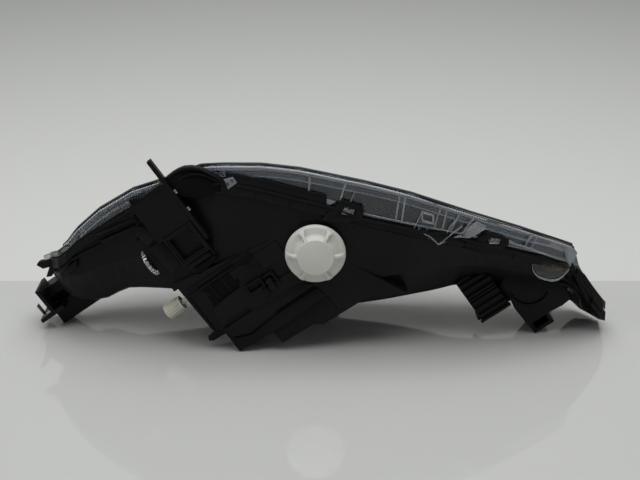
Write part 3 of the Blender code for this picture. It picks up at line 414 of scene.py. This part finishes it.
# A curved flange runs over the inner corner and keeps water off the glue seam.
flange_path = [
    (-184, -74, 221), (-175, -75, 228.5), (-168, -76, 233), (-161, -77, 236), (-152, -78, 237),
    (-142, -78.5, 235.6),
    (-129, -80, 229.8), (-117, -81, 222.6), (-111, -81.5, 215),
]
flange = swept("corner_flange", flange_path, 10, 3.4)
settle(flange, black_polypropylene, "lamp", 1.0)
inner_flange = swept(
    "corner_flange_inner", [(x + 6, y - 1.5, z - 7.5) for x, y, z in flange_path[1:-1]], 6, 2.4,
)
settle(inner_flange, black_polypropylene, "lamp", 0.8)
# A near-black plate in the corner hollow under the flange is painted shade.
hollow = outline(
    "corner_shade_plate",
    [
        (-186, 214), (-184, 221), (-175, 228), (-161, 235), (-142, 234.5), (-128, 228.5), (-114, 219),
        (-111, 211),
        (-126, 203), (-140, 198), (-176, 202),
    ],
    (-79.2, -73), LEVEL,
)
settle(hollow, painted_shade_black, "lamp", 0.6)

# Near edge of the lamp: x, y, height of the lens crest, height of the seam, in millimetres.
EDGE = (
    (-341, -4, 104, 96), (-336, -20, 109, 101), (-325, -36, 117, 108), (-313, -43, 128, 118),
    (-300, -44, 146, 131), (-270, -45, 173, 151), (-227, -50, 200, 179), (-185, -58, 216, 196),
    (-142, -70, 236, 214), (-116, -76, 239, 221), (-69, -80, 240, 213), (-24, -84, 236, 202),
    (12, -86, 229, 194), (54, -86, 220, 178), (108, -86, 206, 166), (180, -80, 180, 149),
    (243, -66, 156, 128), (314, -41, 124, 101), (322, -38, 98, 86), (338, -32, 72, 60),
    (351, -26, 54, 42), (362, -20, 42, 30),
)


def edge_at(x, column):
    """Reads the near edge's table at x."""
    for left, right in zip(EDGE, EDGE[1:]):
        if left[0] <= x <= right[0]:
            share = (x - left[0]) / (right[0] - left[0])
            return left[column] + share * (right[column] - left[column])
    return EDGE[-1][column]


def along_edge(first, last, out, drop, column=3, step=9):
    """A path beside the seam (3) or the crest (2), out of the lamp and below that line."""
    count = max(2, round((last - first) / step))
    places = [first + (last - first) * k / count for k in range(count + 1)]
    return [(x, edge_at(x, 1) - out, edge_at(x, column) - drop) for x in places]


# The glue channel's outer wall: a rail under the seam, doubled by a lower bead.
rail_parts = [
    swept("rail_high", along_edge(-262, 300, 4.4, 2.6), 2.6, 3.0),
    swept("rail_low", along_edge(-230, 205, 4.2, 13.5), 2.2, 2.4),
    swept("rail_web", along_edge(-118, 6, 3.9, 8), 1.2, 9),
]
rail_parts.append(swept("rail_apron", along_edge(-112, 8, 2.4, -4.8), 3, 12))
rail_parts += [
    bar(f"rail_key_{k}", (x - 1.2, x + 1.2), (edge_at(x, 1) - 5.8, edge_at(x, 1)),
        (edge_at(x, 3) - 13, edge_at(x, 3) - 3), LEVEL)
    for k, x in enumerate((-205, -100, -78, -56, -37, -16, 84, 122, 150, 176, 236))
]
for part in rail_parts:
    settle(part, black_polypropylene, None, 0.6)
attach(joined("glue_channel_rail", rail_parts), "lamp")

# Clip tabs stand up over the lens's foot, each with a window that catches a lug on the lens.
tab_one = outline(
    "clip_tab_inner",
    [(0, 174), (24, 199.5), (27, 200), (50, 192), (52.6, 187.5), (49, 175), (30, 172)], (-91.4, -88.6),
    LEVEL,
)
window = outline(
    "window", [(21.5, 185), (28.8, 192.5), (43.3, 188), (39, 180), (26.3, 181.5)], (-94, -86), LEVEL,
)
settle(cut(tab_one, window), black_polypropylene, "lamp", 0.5)
tab_two = outline(
    "clip_tab_outer",
    [
        (178, 141), (199, 156), (203, 156.4), (217, 152), (227, 147.5), (227, 139), (218, 135),
        (196, 137),
    ],
    (-81.4, -78.6), LEVEL,
)
window = outline(
    "window", [(200, 144.5), (205.5, 150), (219, 147.2), (215.4, 140), (208, 139)], (-84, -76), LEVEL,
)
settle(cut(tab_two, window), black_polypropylene, "lamp", 0.5)
tab_bar = outline(
    "clip_tab_step", [(118, 158), (150, 158), (176, 143), (168, 138), (140, 148)], (-88.6, -84), LEVEL,
)
settle(tab_bar, black_polypropylene, "lamp", 0.6)

# The wing's two stiffening ribs and the lip along its seam.
wing_parts = [
    swept("wing_rib_high", [(-276, -49, 141), (-250, -52, 153), (-225, -55, 165)], 5, 3.6),
    swept("wing_rib_low", [(-270, -47, 132), (-248, -50, 143), (-226, -54, 154)], 5, 3.6),
    swept(
        "wing_lip",
        [
            (-326, -38, 90), (-308, -45, 107), (-290, -46, 118), (-272, -47, 127), (-240, -51, 147),
            (-226, -54, 155),
        ],
        4, 2.6,
    ),
    swept("wing_web", [(-322, -40, 82), (-309, -45, 96), (-300, -46, 103)], 5, 10),
]
for part in wing_parts:
    settle(part, black_polypropylene, None, 1.0)
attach(joined("wing_ribs", wing_parts), "lamp")

TIP_FRAME = Matrix.Translation((-0.331, 0, 0)) @ CAR_TURN
# The inner tip ends in a snap tab and a grey-edged hook, above the ribbed foot box.
tip_parts = [
    outline(
        "tip_tab",
        [(-358, 88), (-355, 91.5), (-343, 95), (-323, 105), (-321, 96), (-333, 88), (-350, 83)],
        (-12, -2), LEVEL,
    ),
    outline(
        "tip_hook",
        [
            (-338, 76), (-345, 75), (-340, 89), (-326, 99), (-304, 106), (-304, 101), (-322, 95),
            (-333, 84),
        ],
        (-20, -13), LEVEL,
    ),
    bar("foot_fin_0", (-4, 14), (8, 12), (38, 42), TIP_FRAME),
]
tip_parts += [
    bar(f"foot_fin_{k}", (2, 15), (2, 9.4), (8 + 10 * k, 11 + 10 * k), TIP_FRAME)
    for k in (1, 2)
]
for part in tip_parts:
    settle(part, black_polypropylene, None, 0.6)
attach(joined("inner_tip", tip_parts), "lamp")

# The fender end: a round tower over the rear foot, and the flange that meets the fender.
tower = outline(
    "marker_tower",
    [
        (222, 66), (226, 55), (238, 51), (246, 36), (264, 13), (292, 33), (306, 41), (318, 52),
        (300, 82), (232, 84),
    ],
    (-33, -18), LEVEL,
)
settle(tower, black_polypropylene, "lamp", 3.2)
hood_arc = [
    (262 + 25 * math.cos(a), -34, 68 + 25 * math.sin(a))
    for a in (math.radians(200 + 14 * k) for k in range(11))
]
settle(swept("marker_hood", hood_arc, 3, 2.4), black_polypropylene, "lamp", 0.8)
fender_parts = [
    swept(
        "fender_flange",
        [(296, -42, 78), (308, -42, 74), (318, -40, 66), (325, -38, 54), (329, -36, 41)], 12, 3.2,
    ),
    swept(
        "fender_cover",
        [(318, -42, 89), (330, -39, 77), (341, -35, 61), (352, -30, 46), (358, -26, 38)], 5, 17,
    ),
    swept(
        "fender_lip",
        [
            (312, -44, 91), (322, -42, 86), (331, -39, 78), (338, -36, 67), (342, -34, 56),
            (341, -32, 44),
        ],
        9, 2.6,
    ),
]
for part in fender_parts:
    settle(part, black_polypropylene, None, 0.9)
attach(joined("fender_end_flanges", fender_parts), "lamp")
BOX_FRAME = Matrix.Translation((0.2045, -0.008, 0.0235)) @ CAR_TURN
box_parts = [
    bar(f"box_rib_{k}", (0.5, 40.5), (-36.5, -30), (8 + 9.5 * k, 10.2 + 9.5 * k), BOX_FRAME)
    for k in range(5)
]
box_parts.append(bar("box_rim", (-1.5, 42), (-36.5, -31), (-0.6, 2.4), BOX_FRAME))
box_parts.append(bar("box_slot_lip", (2, 30), (-36.8, -31), (55, 57), BOX_FRAME))
for part in box_parts:
    settle(part, black_polypropylene, None, 0.5)
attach(joined("fender_box_ribs", box_parts), "lamp")

# ---- Optics inside -----------------------------------------------------------------------
# Reflectors of heat-proof moulding compound under a vacuum-coated aluminium mirror.
# Bulbs of quartz and dyed glass stand in grey nylon bases, held by a quarter turn.

# A vacuum-coated mirror layer: bright, slightly hazy, with a soft haze where the lacquer varies.
vacuum_aluminium, shader, place = finish_named(
    "vacuum_coated_aluminium", {"Base Color": linear("#e3e4e6"), "Metallic": 1.0, "Roughness": 0.08}
)
haze = wear(vacuum_aluminium, shader, place, 0.05, 0.14, 400, 18)
join(vacuum_aluminium, haze.outputs["Normal"], shader, "Normal")
paint(vacuum_aluminium, "low_beam_reflector", "high_beam_reflector", "turn_signal_reflector")

# Dyed acrylic and dyed glass: dark amber, half clear, glossy.
amber_acrylic, shader, place = finish_named(
    "amber_acrylic", {"Base Color": linear("#8a5426"), "IOR": 1.49, "Transmission Weight": 0.6}
)
bump = wear(amber_acrylic, shader, place, 0.08, 0.18, 500, 20)
join(amber_acrylic, bump.outputs["Normal"], shader, "Normal")
paint(amber_acrylic, "side_marker_reflector", "turn_signal_bulb", "side_marker_bulb")

# Bare quartz glass: clear and hard-edged.
quartz, shader, place = finish_named(
    "quartz_glass", {"Base Color": linear("#f6f8f8"), "IOR": 1.46, "Transmission Weight": 1.0}
)
bump = wear(quartz, shader, place, 0.0, 0.05, 300, 30)
join(quartz, bump.outputs["Normal"], shader, "Normal")
paint(quartz, "low_beam_bulb", "high_beam_bulb")

# Glass-filled nylon has a dull grey skin with a fine speckle.
grey_nylon, shader, place = finish_named(
    "grey_glass_filled_nylon", {"Base Color": linear("#6d6f70"), "IOR": 1.53},
)
bump = wear(grey_nylon, shader, place, 0.42, 0.6, 800, 16)
join(grey_nylon, bump.outputs["Normal"], shader, "Normal")
paint(
    grey_nylon, "low_beam_bulb_base", "high_beam_bulb_base", "turn_signal_socket", "side_marker_socket",
    "reflector_carrier",
)

# Undyed nylon is milky ivory and lets a little light into its edges.
natural_nylon, shader, place = finish_named(
    "natural_nylon", {"Base Color": linear("#dcd9cb"), "IOR": 1.53, "Subsurface Weight": 0.12}
)
shader.inputs["Subsurface Radius"].default_value = (0.003, 0.0026, 0.002)
bump = wear(natural_nylon, shader, place, 0.38, 0.52, 700, 25)
join(natural_nylon, bump.outputs["Normal"], shader, "Normal")
paint(
    natural_nylon, "vertical_ball_socket", "horizontal_ball_socket", "pivot_ball_socket",
    "vertical_aim_gear",
    "vertical_aim_knob", "horizontal_aim_knob",
)

# Zinc plate is pale grey metal with a patchy satin sheen.
zinc_steel, shader, place = finish_named(
    "zinc_plated_steel", {"Base Color": linear("#b9bab8"), "Metallic": 1.0}
)
bump = wear(zinc_steel, shader, place, 0.25, 0.42, 600, 60)
join(zinc_steel, bump.outputs["Normal"], shader, "Normal")
paint(
    zinc_steel, "screwdriver_star_wheel", "vertical_aim_stud", "horizontal_aim_stud", "pivot_stud",
    "aim_transfer_shaft", "bracket_screw_1",
    "bracket_screw_2", "inner_tab_bushing", "outer_tab_bushing", "tab_spring_clip",
    *(f"{beam}_reflector_screw_{k}" for beam in ("low", "high") for k in (1, 2, 3)),
)

# Nitrile rubber is a flat dull black.
nitrile_rubber, shader, place = finish_named(
    "nitrile_rubber", {"Base Color": linear("#141414"), "Specular IOR Level": 0.35}
)
bump = wear(nitrile_rubber, shader, place, 0.7, 0.85, 900, 20)
join(nitrile_rubber, bump.outputs["Normal"], shader, "Normal")
paint(
    nitrile_rubber, "lens_seal", "cap_seal", "turn_signal_gasket", "side_marker_gasket", "vent_cap_1",
    "vent_cap_2",
)

# Solder mask is a glossy green film over the board.
solder_mask, shader, place = finish_named(
    "green_solder_mask", {"Base Color": linear("#1f5a38"), "Roughness": 0.3},
)
bump = wear(solder_mask, shader, place, 0.25, 0.4, 500, 90)
join(solder_mask, bump.outputs["Normal"], shader, "Normal")
paint(solder_mask, "drl_led_board")

# The bezel is grained black moulding, with fine flutes 2.4 mm apart down its skirt; their pale grey
# stripes are painted highlight.
fluted_bezel, shader, place = finish_named(
    "fluted_black_bezel", {"Base Color": linear("#2b2c2e"), "Metallic": 0.25},
)
turned = node(fluted_bezel, "Mapping", {"Rotation": (0, math.radians(38), 0)}, {"Vector": place})
flutes = node(
    fluted_bezel, "TexWave",
    {"wave_type": "BANDS", "bands_direction": "X", "Scale": 150, "Distortion": 0.3},
    {"Vector": turned.outputs["Vector"]},
)
flute_highlight = node(fluted_bezel, "ValToRGB", {}, {"Fac": flutes.outputs["Fac"]})
flute_highlight.color_ramp.elements[0].color = linear("#0e0f10")
flute_highlight.color_ramp.elements[1].color = linear("#b4b8bc")
flute_highlight.color_ramp.elements[0].position = 0.35
join(fluted_bezel, flute_highlight.outputs["Color"], shader, "Base Color")
bump = node(
    fluted_bezel, "Bump", {"Strength": 0.6, "Distance": 0.0006}, {"Height": flutes.outputs["Fac"]},
)
join(fluted_bezel, bump.outputs["Normal"], shader, "Normal")
shader.inputs["Roughness"].default_value = 0.28
paint(fluted_bezel, "bezel")

# ---- Aim knob and star wheel -------------------------------------------------------------
# The knob is moulded in natural nylon and splined for the fingers. The star wheel is pressed
# and plated steel, toothed for a screwdriver put in from the side.


def around(part, count, centre, axis):
    """Copies the part about the axis, each copy with its own mesh, and joins them all."""
    parts = [part]
    for k in range(1, count):
        other = part.copy()
        other.data = part.data.copy()
        bpy.context.collection.objects.link(other)
        turn = Matrix.Rotation(2 * math.pi * k / count, 4, axis)
        other.data.transform(Matrix.Translation(centre) @ turn @ Matrix.Translation(-centre))
        parts.append(other)
    return parts


LATERAL = CAR_TURN @ Vector((1, 0, 0))
knob_centre = CAR_TURN @ (Vector((-122, -49, 141.5)) / 1000)
spline_rib = bar("spline", (-133, -114), (-59.1, -57.7), (140.9, 142.1))
settle(spline_rib, natural_nylon, None, 0.3)
splines = around(spline_rib, 18, knob_centre, LATERAL)
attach(joined("knob_splines", splines), "vertical_knob")

star_centre = CAR_TURN @ (Vector((-104, -69, 211)) / 1000)
tooth = bar("tooth", (-105.8, -100.6), (-86.2, -82.8), (210, 212))
settle(tooth, zinc_steel, None, 0.4)
teeth = around(tooth, 20, star_centre, LATERAL)
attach(joined("star_wheel_teeth", teeth), "star_wheel")

# ---- Lens --------------------------------------------------------------------------------
# Clear hard-coated polycarbonate, 3 mm thick, glued into the housing's rim on a black seal.
# Its near skirt carries moulded ribs, lugs for the clip tabs and a frosted edge.

# Hard-coated polycarbonate is glossy, with a faint grey tint through its thickness.
clear_polycarbonate, shader, place = finish_named(
    "clear_polycarbonate", {"Base Color": linear("#a9afb6"), "IOR": 1.585, "Transmission Weight": 1.0}
)
bump = wear(clear_polycarbonate, shader, place, 0.01, 0.05, 120, 14)
join(clear_polycarbonate, bump.outputs["Normal"], shader, "Normal")
bump.inputs["Strength"].default_value = 0.03
paint(clear_polycarbonate, "outer_lens", "drl_light_guide")

# Where the mould was left rough the clear plastic scatters light and looks frosted.
frosted_polycarbonate, shader, place = finish_named(
    "frosted_polycarbonate",
    {"Base Color": linear("#ccd2d8"), "IOR": 1.585, "Transmission Weight": 0.72, "Roughness": 0.14},
)
grain = node(frosted_polycarbonate, "TexNoise", {"Scale": 420, "Detail": 2}, {"Vector": place})
bump = node(
    frosted_polycarbonate, "Bump", {"Strength": 0.35, "Distance": 0.0004},
    {"Height": grain.outputs["Fac"]},
)
join(frosted_polycarbonate, bump.outputs["Normal"], shader, "Normal")

# A dark blue-grey strip along the lens crest, where the cut edge runs, is painted shade for the dark
# look the clear sheet takes when seen along its length.
painted_crest_shade, shader, place = finish_named(
    "lens_crest_painted_shade", {"Base Color": linear("#23283a"), "Roughness": 0.12},
)
bump = wear(painted_crest_shade, shader, place, 0.08, 0.2, 300, 20)
join(painted_crest_shade, bump.outputs["Normal"], shader, "Normal")
crest_shade_line = swept("lens_crest_shade_line", along_edge(-318, 312, -3.6, -0.7, 2, 7), 4.6, 2.2)
settle(crest_shade_line, painted_crest_shade, "lamp", 0.3, 60)
# Fine moulded teeth run along the edge; their bright ticked band is painted highlight, coloured near
# white for the light the teeth catch.
painted_highlight_polycarbonate, shader, place = finish_named(
    "lens_edge_painted_highlight",
    {"Base Color": linear("#eef1f4"), "IOR": 1.585, "Transmission Weight": 0.35}
)
highlight_ticks = node(
    painted_highlight_polycarbonate, "TexWave",
    {"wave_type": "BANDS", "bands_direction": "X", "Scale": 110, "Distortion": 0.4},
    {"Vector": place},
)
tone = node(painted_highlight_polycarbonate, "ValToRGB", {}, {"Fac": highlight_ticks.outputs["Fac"]})
tone.color_ramp.elements[0].color = linear("#8e9499")
tone.color_ramp.elements[1].color = linear("#f4f6f8")
tone.color_ramp.elements[1].position = 0.55
join(painted_highlight_polycarbonate, tone.outputs["Color"], shader, "Base Color")
bump = node(
    painted_highlight_polycarbonate, "Bump", {"Strength": 0.5, "Distance": 0.0005},
    {"Height": highlight_ticks.outputs["Fac"]},
)
join(painted_highlight_polycarbonate, bump.outputs["Normal"], shader, "Normal")
shader.inputs["Roughness"].default_value = 0.18
bead = swept("lens_edge_bead", along_edge(-312, 310, 0.5, 2.4, 2, 7), 1.2, 1.9)
settle(bead, painted_highlight_polycarbonate, "lamp", 0.5, 60)
foot_bead = swept("lens_foot_bead", along_edge(52, 306, 1.0, -3.4, 3, 7), 2.2, 2.2)
settle(foot_bead, frosted_polycarbonate, "lamp", 0.5, 60)

rib_parts = []
for k, (top, low) in enumerate((
    (-12, -14), (30, 22), (94, 90), (101, 97), (143, 136), (151, 146), (166, 156), (256, 247),
)):
    y = edge_at(top, 1)
    rib = outline(
        f"skirt_rib_{k}",
        [
            (low - 1, edge_at(low, 3) + 3), (low + 1.2, edge_at(low, 3) + 3),
            (top + 1.2, edge_at(top, 2) - 6),
            (top - 1, edge_at(top, 2) - 6),
        ],
        (y - 2.6, y - 0.1), LEVEL,
    )
    settle(rib, frosted_polycarbonate, None, 0.4)
    rib_parts.append(rib)
for k, (start, end) in enumerate(((120, 134), (196, 236))):
    rib_parts.append(
        settle(
            swept(f"skirt_ledge_{k}", along_edge(start, end, 1.6, -9), 2.4, 1.6), frosted_polycarbonate,
            None, 0.4,
        )
    )
window_frame = outline(
    "skirt_window", [(120, 186), (121, 173), (136, 168), (136, 181)], (-88.4, -86.2), LEVEL,
)
opening = outline(
    "opening", [(122.5, 182.5), (123, 175), (133.5, 171.5), (133.5, 179)], (-92, -80), LEVEL,
)
rib_parts.append(settle(cut(window_frame, opening), frosted_polycarbonate, None, 0.3))
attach(joined("lens_skirt_ribs", rib_parts), "lamp")

# The skirt ends in a thick frosted block at the fender, with a return edge up to the crest.
end_block = outline(
    "lens_end_block", [(303, 107), (300, 127), (314, 122), (317.5, 117), (309, 98)], (-47.5, -44), LEVEL
)
settle(end_block, frosted_polycarbonate, "lamp", 1.2)

# Lugs that snap into the housing's windows, and the clear prongs between them.
lug_parts = [
    outline("lug_inner", [(25, 182.6), (29, 190.6), (41.6, 187.2), (38, 181)], (-91.2, -88.2), LEVEL),
    outline("lug_outer", [(203, 141.2), (206, 148.6), (217, 146), (214, 141)], (-81.2, -78.2), LEVEL),
    outline("lug_corner", [(-114, 223), (-103, 226), (-98, 219), (-109, 211)], (-83.6, -80), LEVEL),
    outline("foot_prong", [(-3, 193), (4, 202), (19, 197.5), (8, 191)], (-88.6, -86.2), LEVEL),
    outline("edge_prong", [(170, 155), (188, 168), (199, 162), (180, 150.5)], (-85.4, -80.4), LEVEL),
]
vee = swept(
    "lens_vee", [(115, -88, 162), (131, -88, 154), (142, -88, 143.5), (165, -86, 153), (180, -84, 151)],
    2.6, 2.2,
)
tail_bar = swept(
    "lens_tail_bar", [(229, -71.5, 140), (253, -66, 131), (280, -56.5, 118), (303, -47, 106)], 2.6, 2.8,
)
lug_parts += [
    swept(
        "lens_vee_return", [(142, -88, 143.5), (150, -88, 150), (158, -87.5, 157), (170, -87, 166)],
        2.2, 1.8,
    ),
    swept(
        "lens_prong_high", [(168, -87, 156), (178, -85, 164), (188, -84, 170), (199, -82, 163)], 2.2, 2,
    ),
    swept("lens_tail_fork", [(249, -67.5, 133), (252, -67, 141), (259, -65, 148)], 2.4, 2.6),
    swept("lens_tail_fork_far", [(257, -65.5, 130), (261, -64.5, 138), (264, -63.5, 146)], 2.4, 2.2),
    swept("lens_foot_rib_a", [(112, -89, 164), (117, -89, 175), (121, -88.5, 186)], 2.2, 2),
    swept("lens_foot_rib_b", [(152, -87.5, 158), (156, -87, 166), (164, -86, 176)], 2.2, 2.6),
    swept("lens_foot_rib_c", [(172, -86, 160), (178, -85, 168), (184, -83.5, 175)], 2.2, 2.2),
    swept("lens_inner_rib", [(30, -88, 186), (36, -88.5, 197), (41, -88.5, 210)], 2.2, 2.4),
]
for part in (*lug_parts, vee, tail_bar):
    settle(part, frosted_polycarbonate, None, 0.6)
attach(joined("lens_lugs", [*lug_parts, vee, tail_bar]), "lamp")
cluster_parts = [
    bar(f"lug_facet_{k}", (x, x + 3.2), (y - 1.3, y), (z, z + 3.4), LEVEL)
    for k, (x, y, z) in enumerate((
        (28, -91, 184), (33, -91, 186), (37, -91, 183), (205, -81, 143), (209, -81, 145),
        (213, -81, 142.5),
        (-111, -83, 216), (-106, -83, 220), (112, -88, 160), (117, -88, 163), (122, -88, 158),
        (126, -88, 161.5),
        (129, -87.5, 150), (134, -87.5, 147),
    ))
]
for part in cluster_parts:
    settle(part, clear_polycarbonate, None, 0.8)
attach(joined("lug_facets", cluster_parts), "lamp")
tip_lugs = [
    outline(
        "tip_lug_inner", [(-349, 99), (-337, 104), (-323, 104), (-333, 96), (-348, 93)], (-10, -4),
        LEVEL,
    ),
    outline(
        "tip_lug_outer", [(342, 62), (349, 58), (356, 44), (359, 36), (350, 38), (345, 48)], (-28, -22),
        LEVEL,
    ),
]
for part in tip_lugs:
    settle(part, frosted_polycarbonate, None, 1.0)
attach(joined("lens_tip_lugs", tip_lugs), "lamp")

# The side marker shows through a clear blister under the lens's outer corner.
blister = outline(
    "marker_blister",
    [(261, 119), (259.6, 103), (267, 91.5), (285, 86), (296, 89), (306, 100), (304, 105)],
    (-60, -44), LEVEL,
)
settle(blister, clear_polycarbonate, "lamp", 2.0)
blister_rim = swept(
    "marker_blister_rim",
    [
        (261, -60.4, 119), (259.6, -60.4, 110), (260.5, -60.4, 102), (263.5, -60.4, 96),
        (268, -60.4, 91.5),
        (276, -60.4, 88), (285, -60.4, 86), (292, -60.4, 87.2), (298, -60, 91), (306, -58, 100),
    ],
    1.6, 2.4,
)
settle(blister_rim, frosted_polycarbonate, "lamp", 0.5)
marker_core = outline(
    "marker_core", [(270, 112), (270, 104), (283, 95.5), (299, 98), (300, 102), (285, 107)], (-56, -46),
    LEVEL
)
settle(marker_core, amber_acrylic, "lamp", 1.4)

# ---- Bulb access cap ---------------------------------------------------------------------
# A light grey polypropylene screw cap on a rubber ring. Six webs join its raised grip disc
# to the flange, and two stops at its foot end the thread.

# Undyed grey polypropylene: satin and slightly waxy, with faint handling tones.
pale_polypropylene, shader, place = finish_named(
    "pale_grey_polypropylene", {"Base Color": linear("#d3d3cc"), "IOR": 1.49, "Subsurface Weight": 0.08}
)
shader.inputs["Subsurface Radius"].default_value = (0.003, 0.003, 0.0025)
bump = wear(pale_polypropylene, shader, place, 0.36, 0.48, 800, 22)
join(pale_polypropylene, bump.outputs["Normal"], shader, "Normal")
stain = node(pale_polypropylene, "TexNoise", {"Scale": 26, "Detail": 5}, {"Vector": place})
tone = node(pale_polypropylene, "ValToRGB", {}, {"Fac": stain.outputs["Fac"]})
tone.color_ramp.elements[0].color = linear("#c6c6be")
tone.color_ramp.elements[1].color = linear("#dadad4")
join(pale_polypropylene, tone.outputs["Color"], shader, "Base Color")


def turned_piece(name, profile, steps=96):
    """A shape spun from radius and height pairs, in millimetres, about the cap's axis along -Y."""
    mesh = bpy.data.meshes.new(name)
    rows = [(radius / 1000, height / 1000, 0) for radius, height in profile]
    mesh.from_pydata(rows, [(k, (k + 1) % len(rows)) for k in range(len(rows) - (rows[0][0] == 0))], [])
    piece = bpy.data.objects.new(name, mesh)
    bpy.context.collection.objects.link(piece)
    deselect()
    piece.select_set(True)
    bpy.context.view_layer.objects.active = piece
    bpy.ops.object.mode_set(mode="EDIT")
    bpy.ops.mesh.select_all(action="SELECT")
    bpy.ops.mesh.spin(steps=steps, angle=2 * math.pi, center=(0, 0, 0), axis=(0, 1, 0))
    bpy.ops.mesh.select_all(action="SELECT")
    bpy.ops.mesh.remove_doubles(threshold=0.00002)
    bpy.ops.object.mode_set(mode="OBJECT")
    return piece


CAP_CENTRE = Vector((-0.0055, 0, 0.133))
cap_shell = turned_piece(
    "bulb_cap",
    [
        (0, -107), (20.6, -107), (21.9, -106.6), (22.6, -105.4), (23.4, -99.6), (24.4, -98.4),
        (25.6, -97.2),
        (28.4, -96.4), (32, -96.2), (34.4, -95.4), (35.2, -93.8), (36.2, -93), (36.5, -92.2),
        (36.5, -90.2),
        (36.1, -89.8), (33.9, -89.8), (33.4, -94.4), (32, -95.4), (21.4, -96), (20.4, -104.4),
        (0, -104.4),
    ],
)
cap_shell.location = CAP_CENTRE
settle(cap_shell, pale_polypropylene, None, 0, 40)
web = outline(
    "cap_web",
    [
        (-2.6, 20.5), (-1.5, 26), (-1.8, 30), (-4.4, 35.2), (4.4, 35.2), (1.8, 30), (1.5, 26),
        (2.6, 20.5),
    ],
    (-105.4, -96), Matrix.Translation(CAP_CENTRE),
)
FALL_START = 0.026
FALL = 0.00742 / 0.0092
for corner in web.data.vertices:
    if corner.co.y < -0.1 and corner.co.z > FALL_START:
        corner.co.y += FALL * (corner.co.z - FALL_START)
settle(web, pale_polypropylene, None, 0.6)
level_web = Matrix.Translation(CAP_CENTRE) @ Matrix.Rotation(math.radians(30), 4, "Y")
web.data.transform(level_web @ Matrix.Translation(-CAP_CENTRE))
webs = around(web, 6, CAP_CENTRE, Vector((0, 1, 0)))
stop_parts = [
    bar(
        f"cap_stop_{k}", (-1.8, 1.8), (-95.6, -90.4), (35.4, 36.4),
        Matrix.Translation(CAP_CENTRE) @ Matrix.Rotation(math.radians(a), 4, "Y"),
    )
    for k, a in enumerate((150, 210))
]
for part in stop_parts:
    settle(part, pale_polypropylene, None, 0.3)
gate = turned_piece(
    "gate_mark", [(0, -107), (0, -106.6), (1.1, -106.6), (1.1, -106.94), (0.7, -107)], 24,
)
gate.location = CAP_CENTRE
settle(gate, pale_polypropylene, None)
cap = joined("screw_cap", [cap_shell, *webs, *stop_parts, gate])
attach(cap, "cap")
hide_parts("bulb_access_cap")
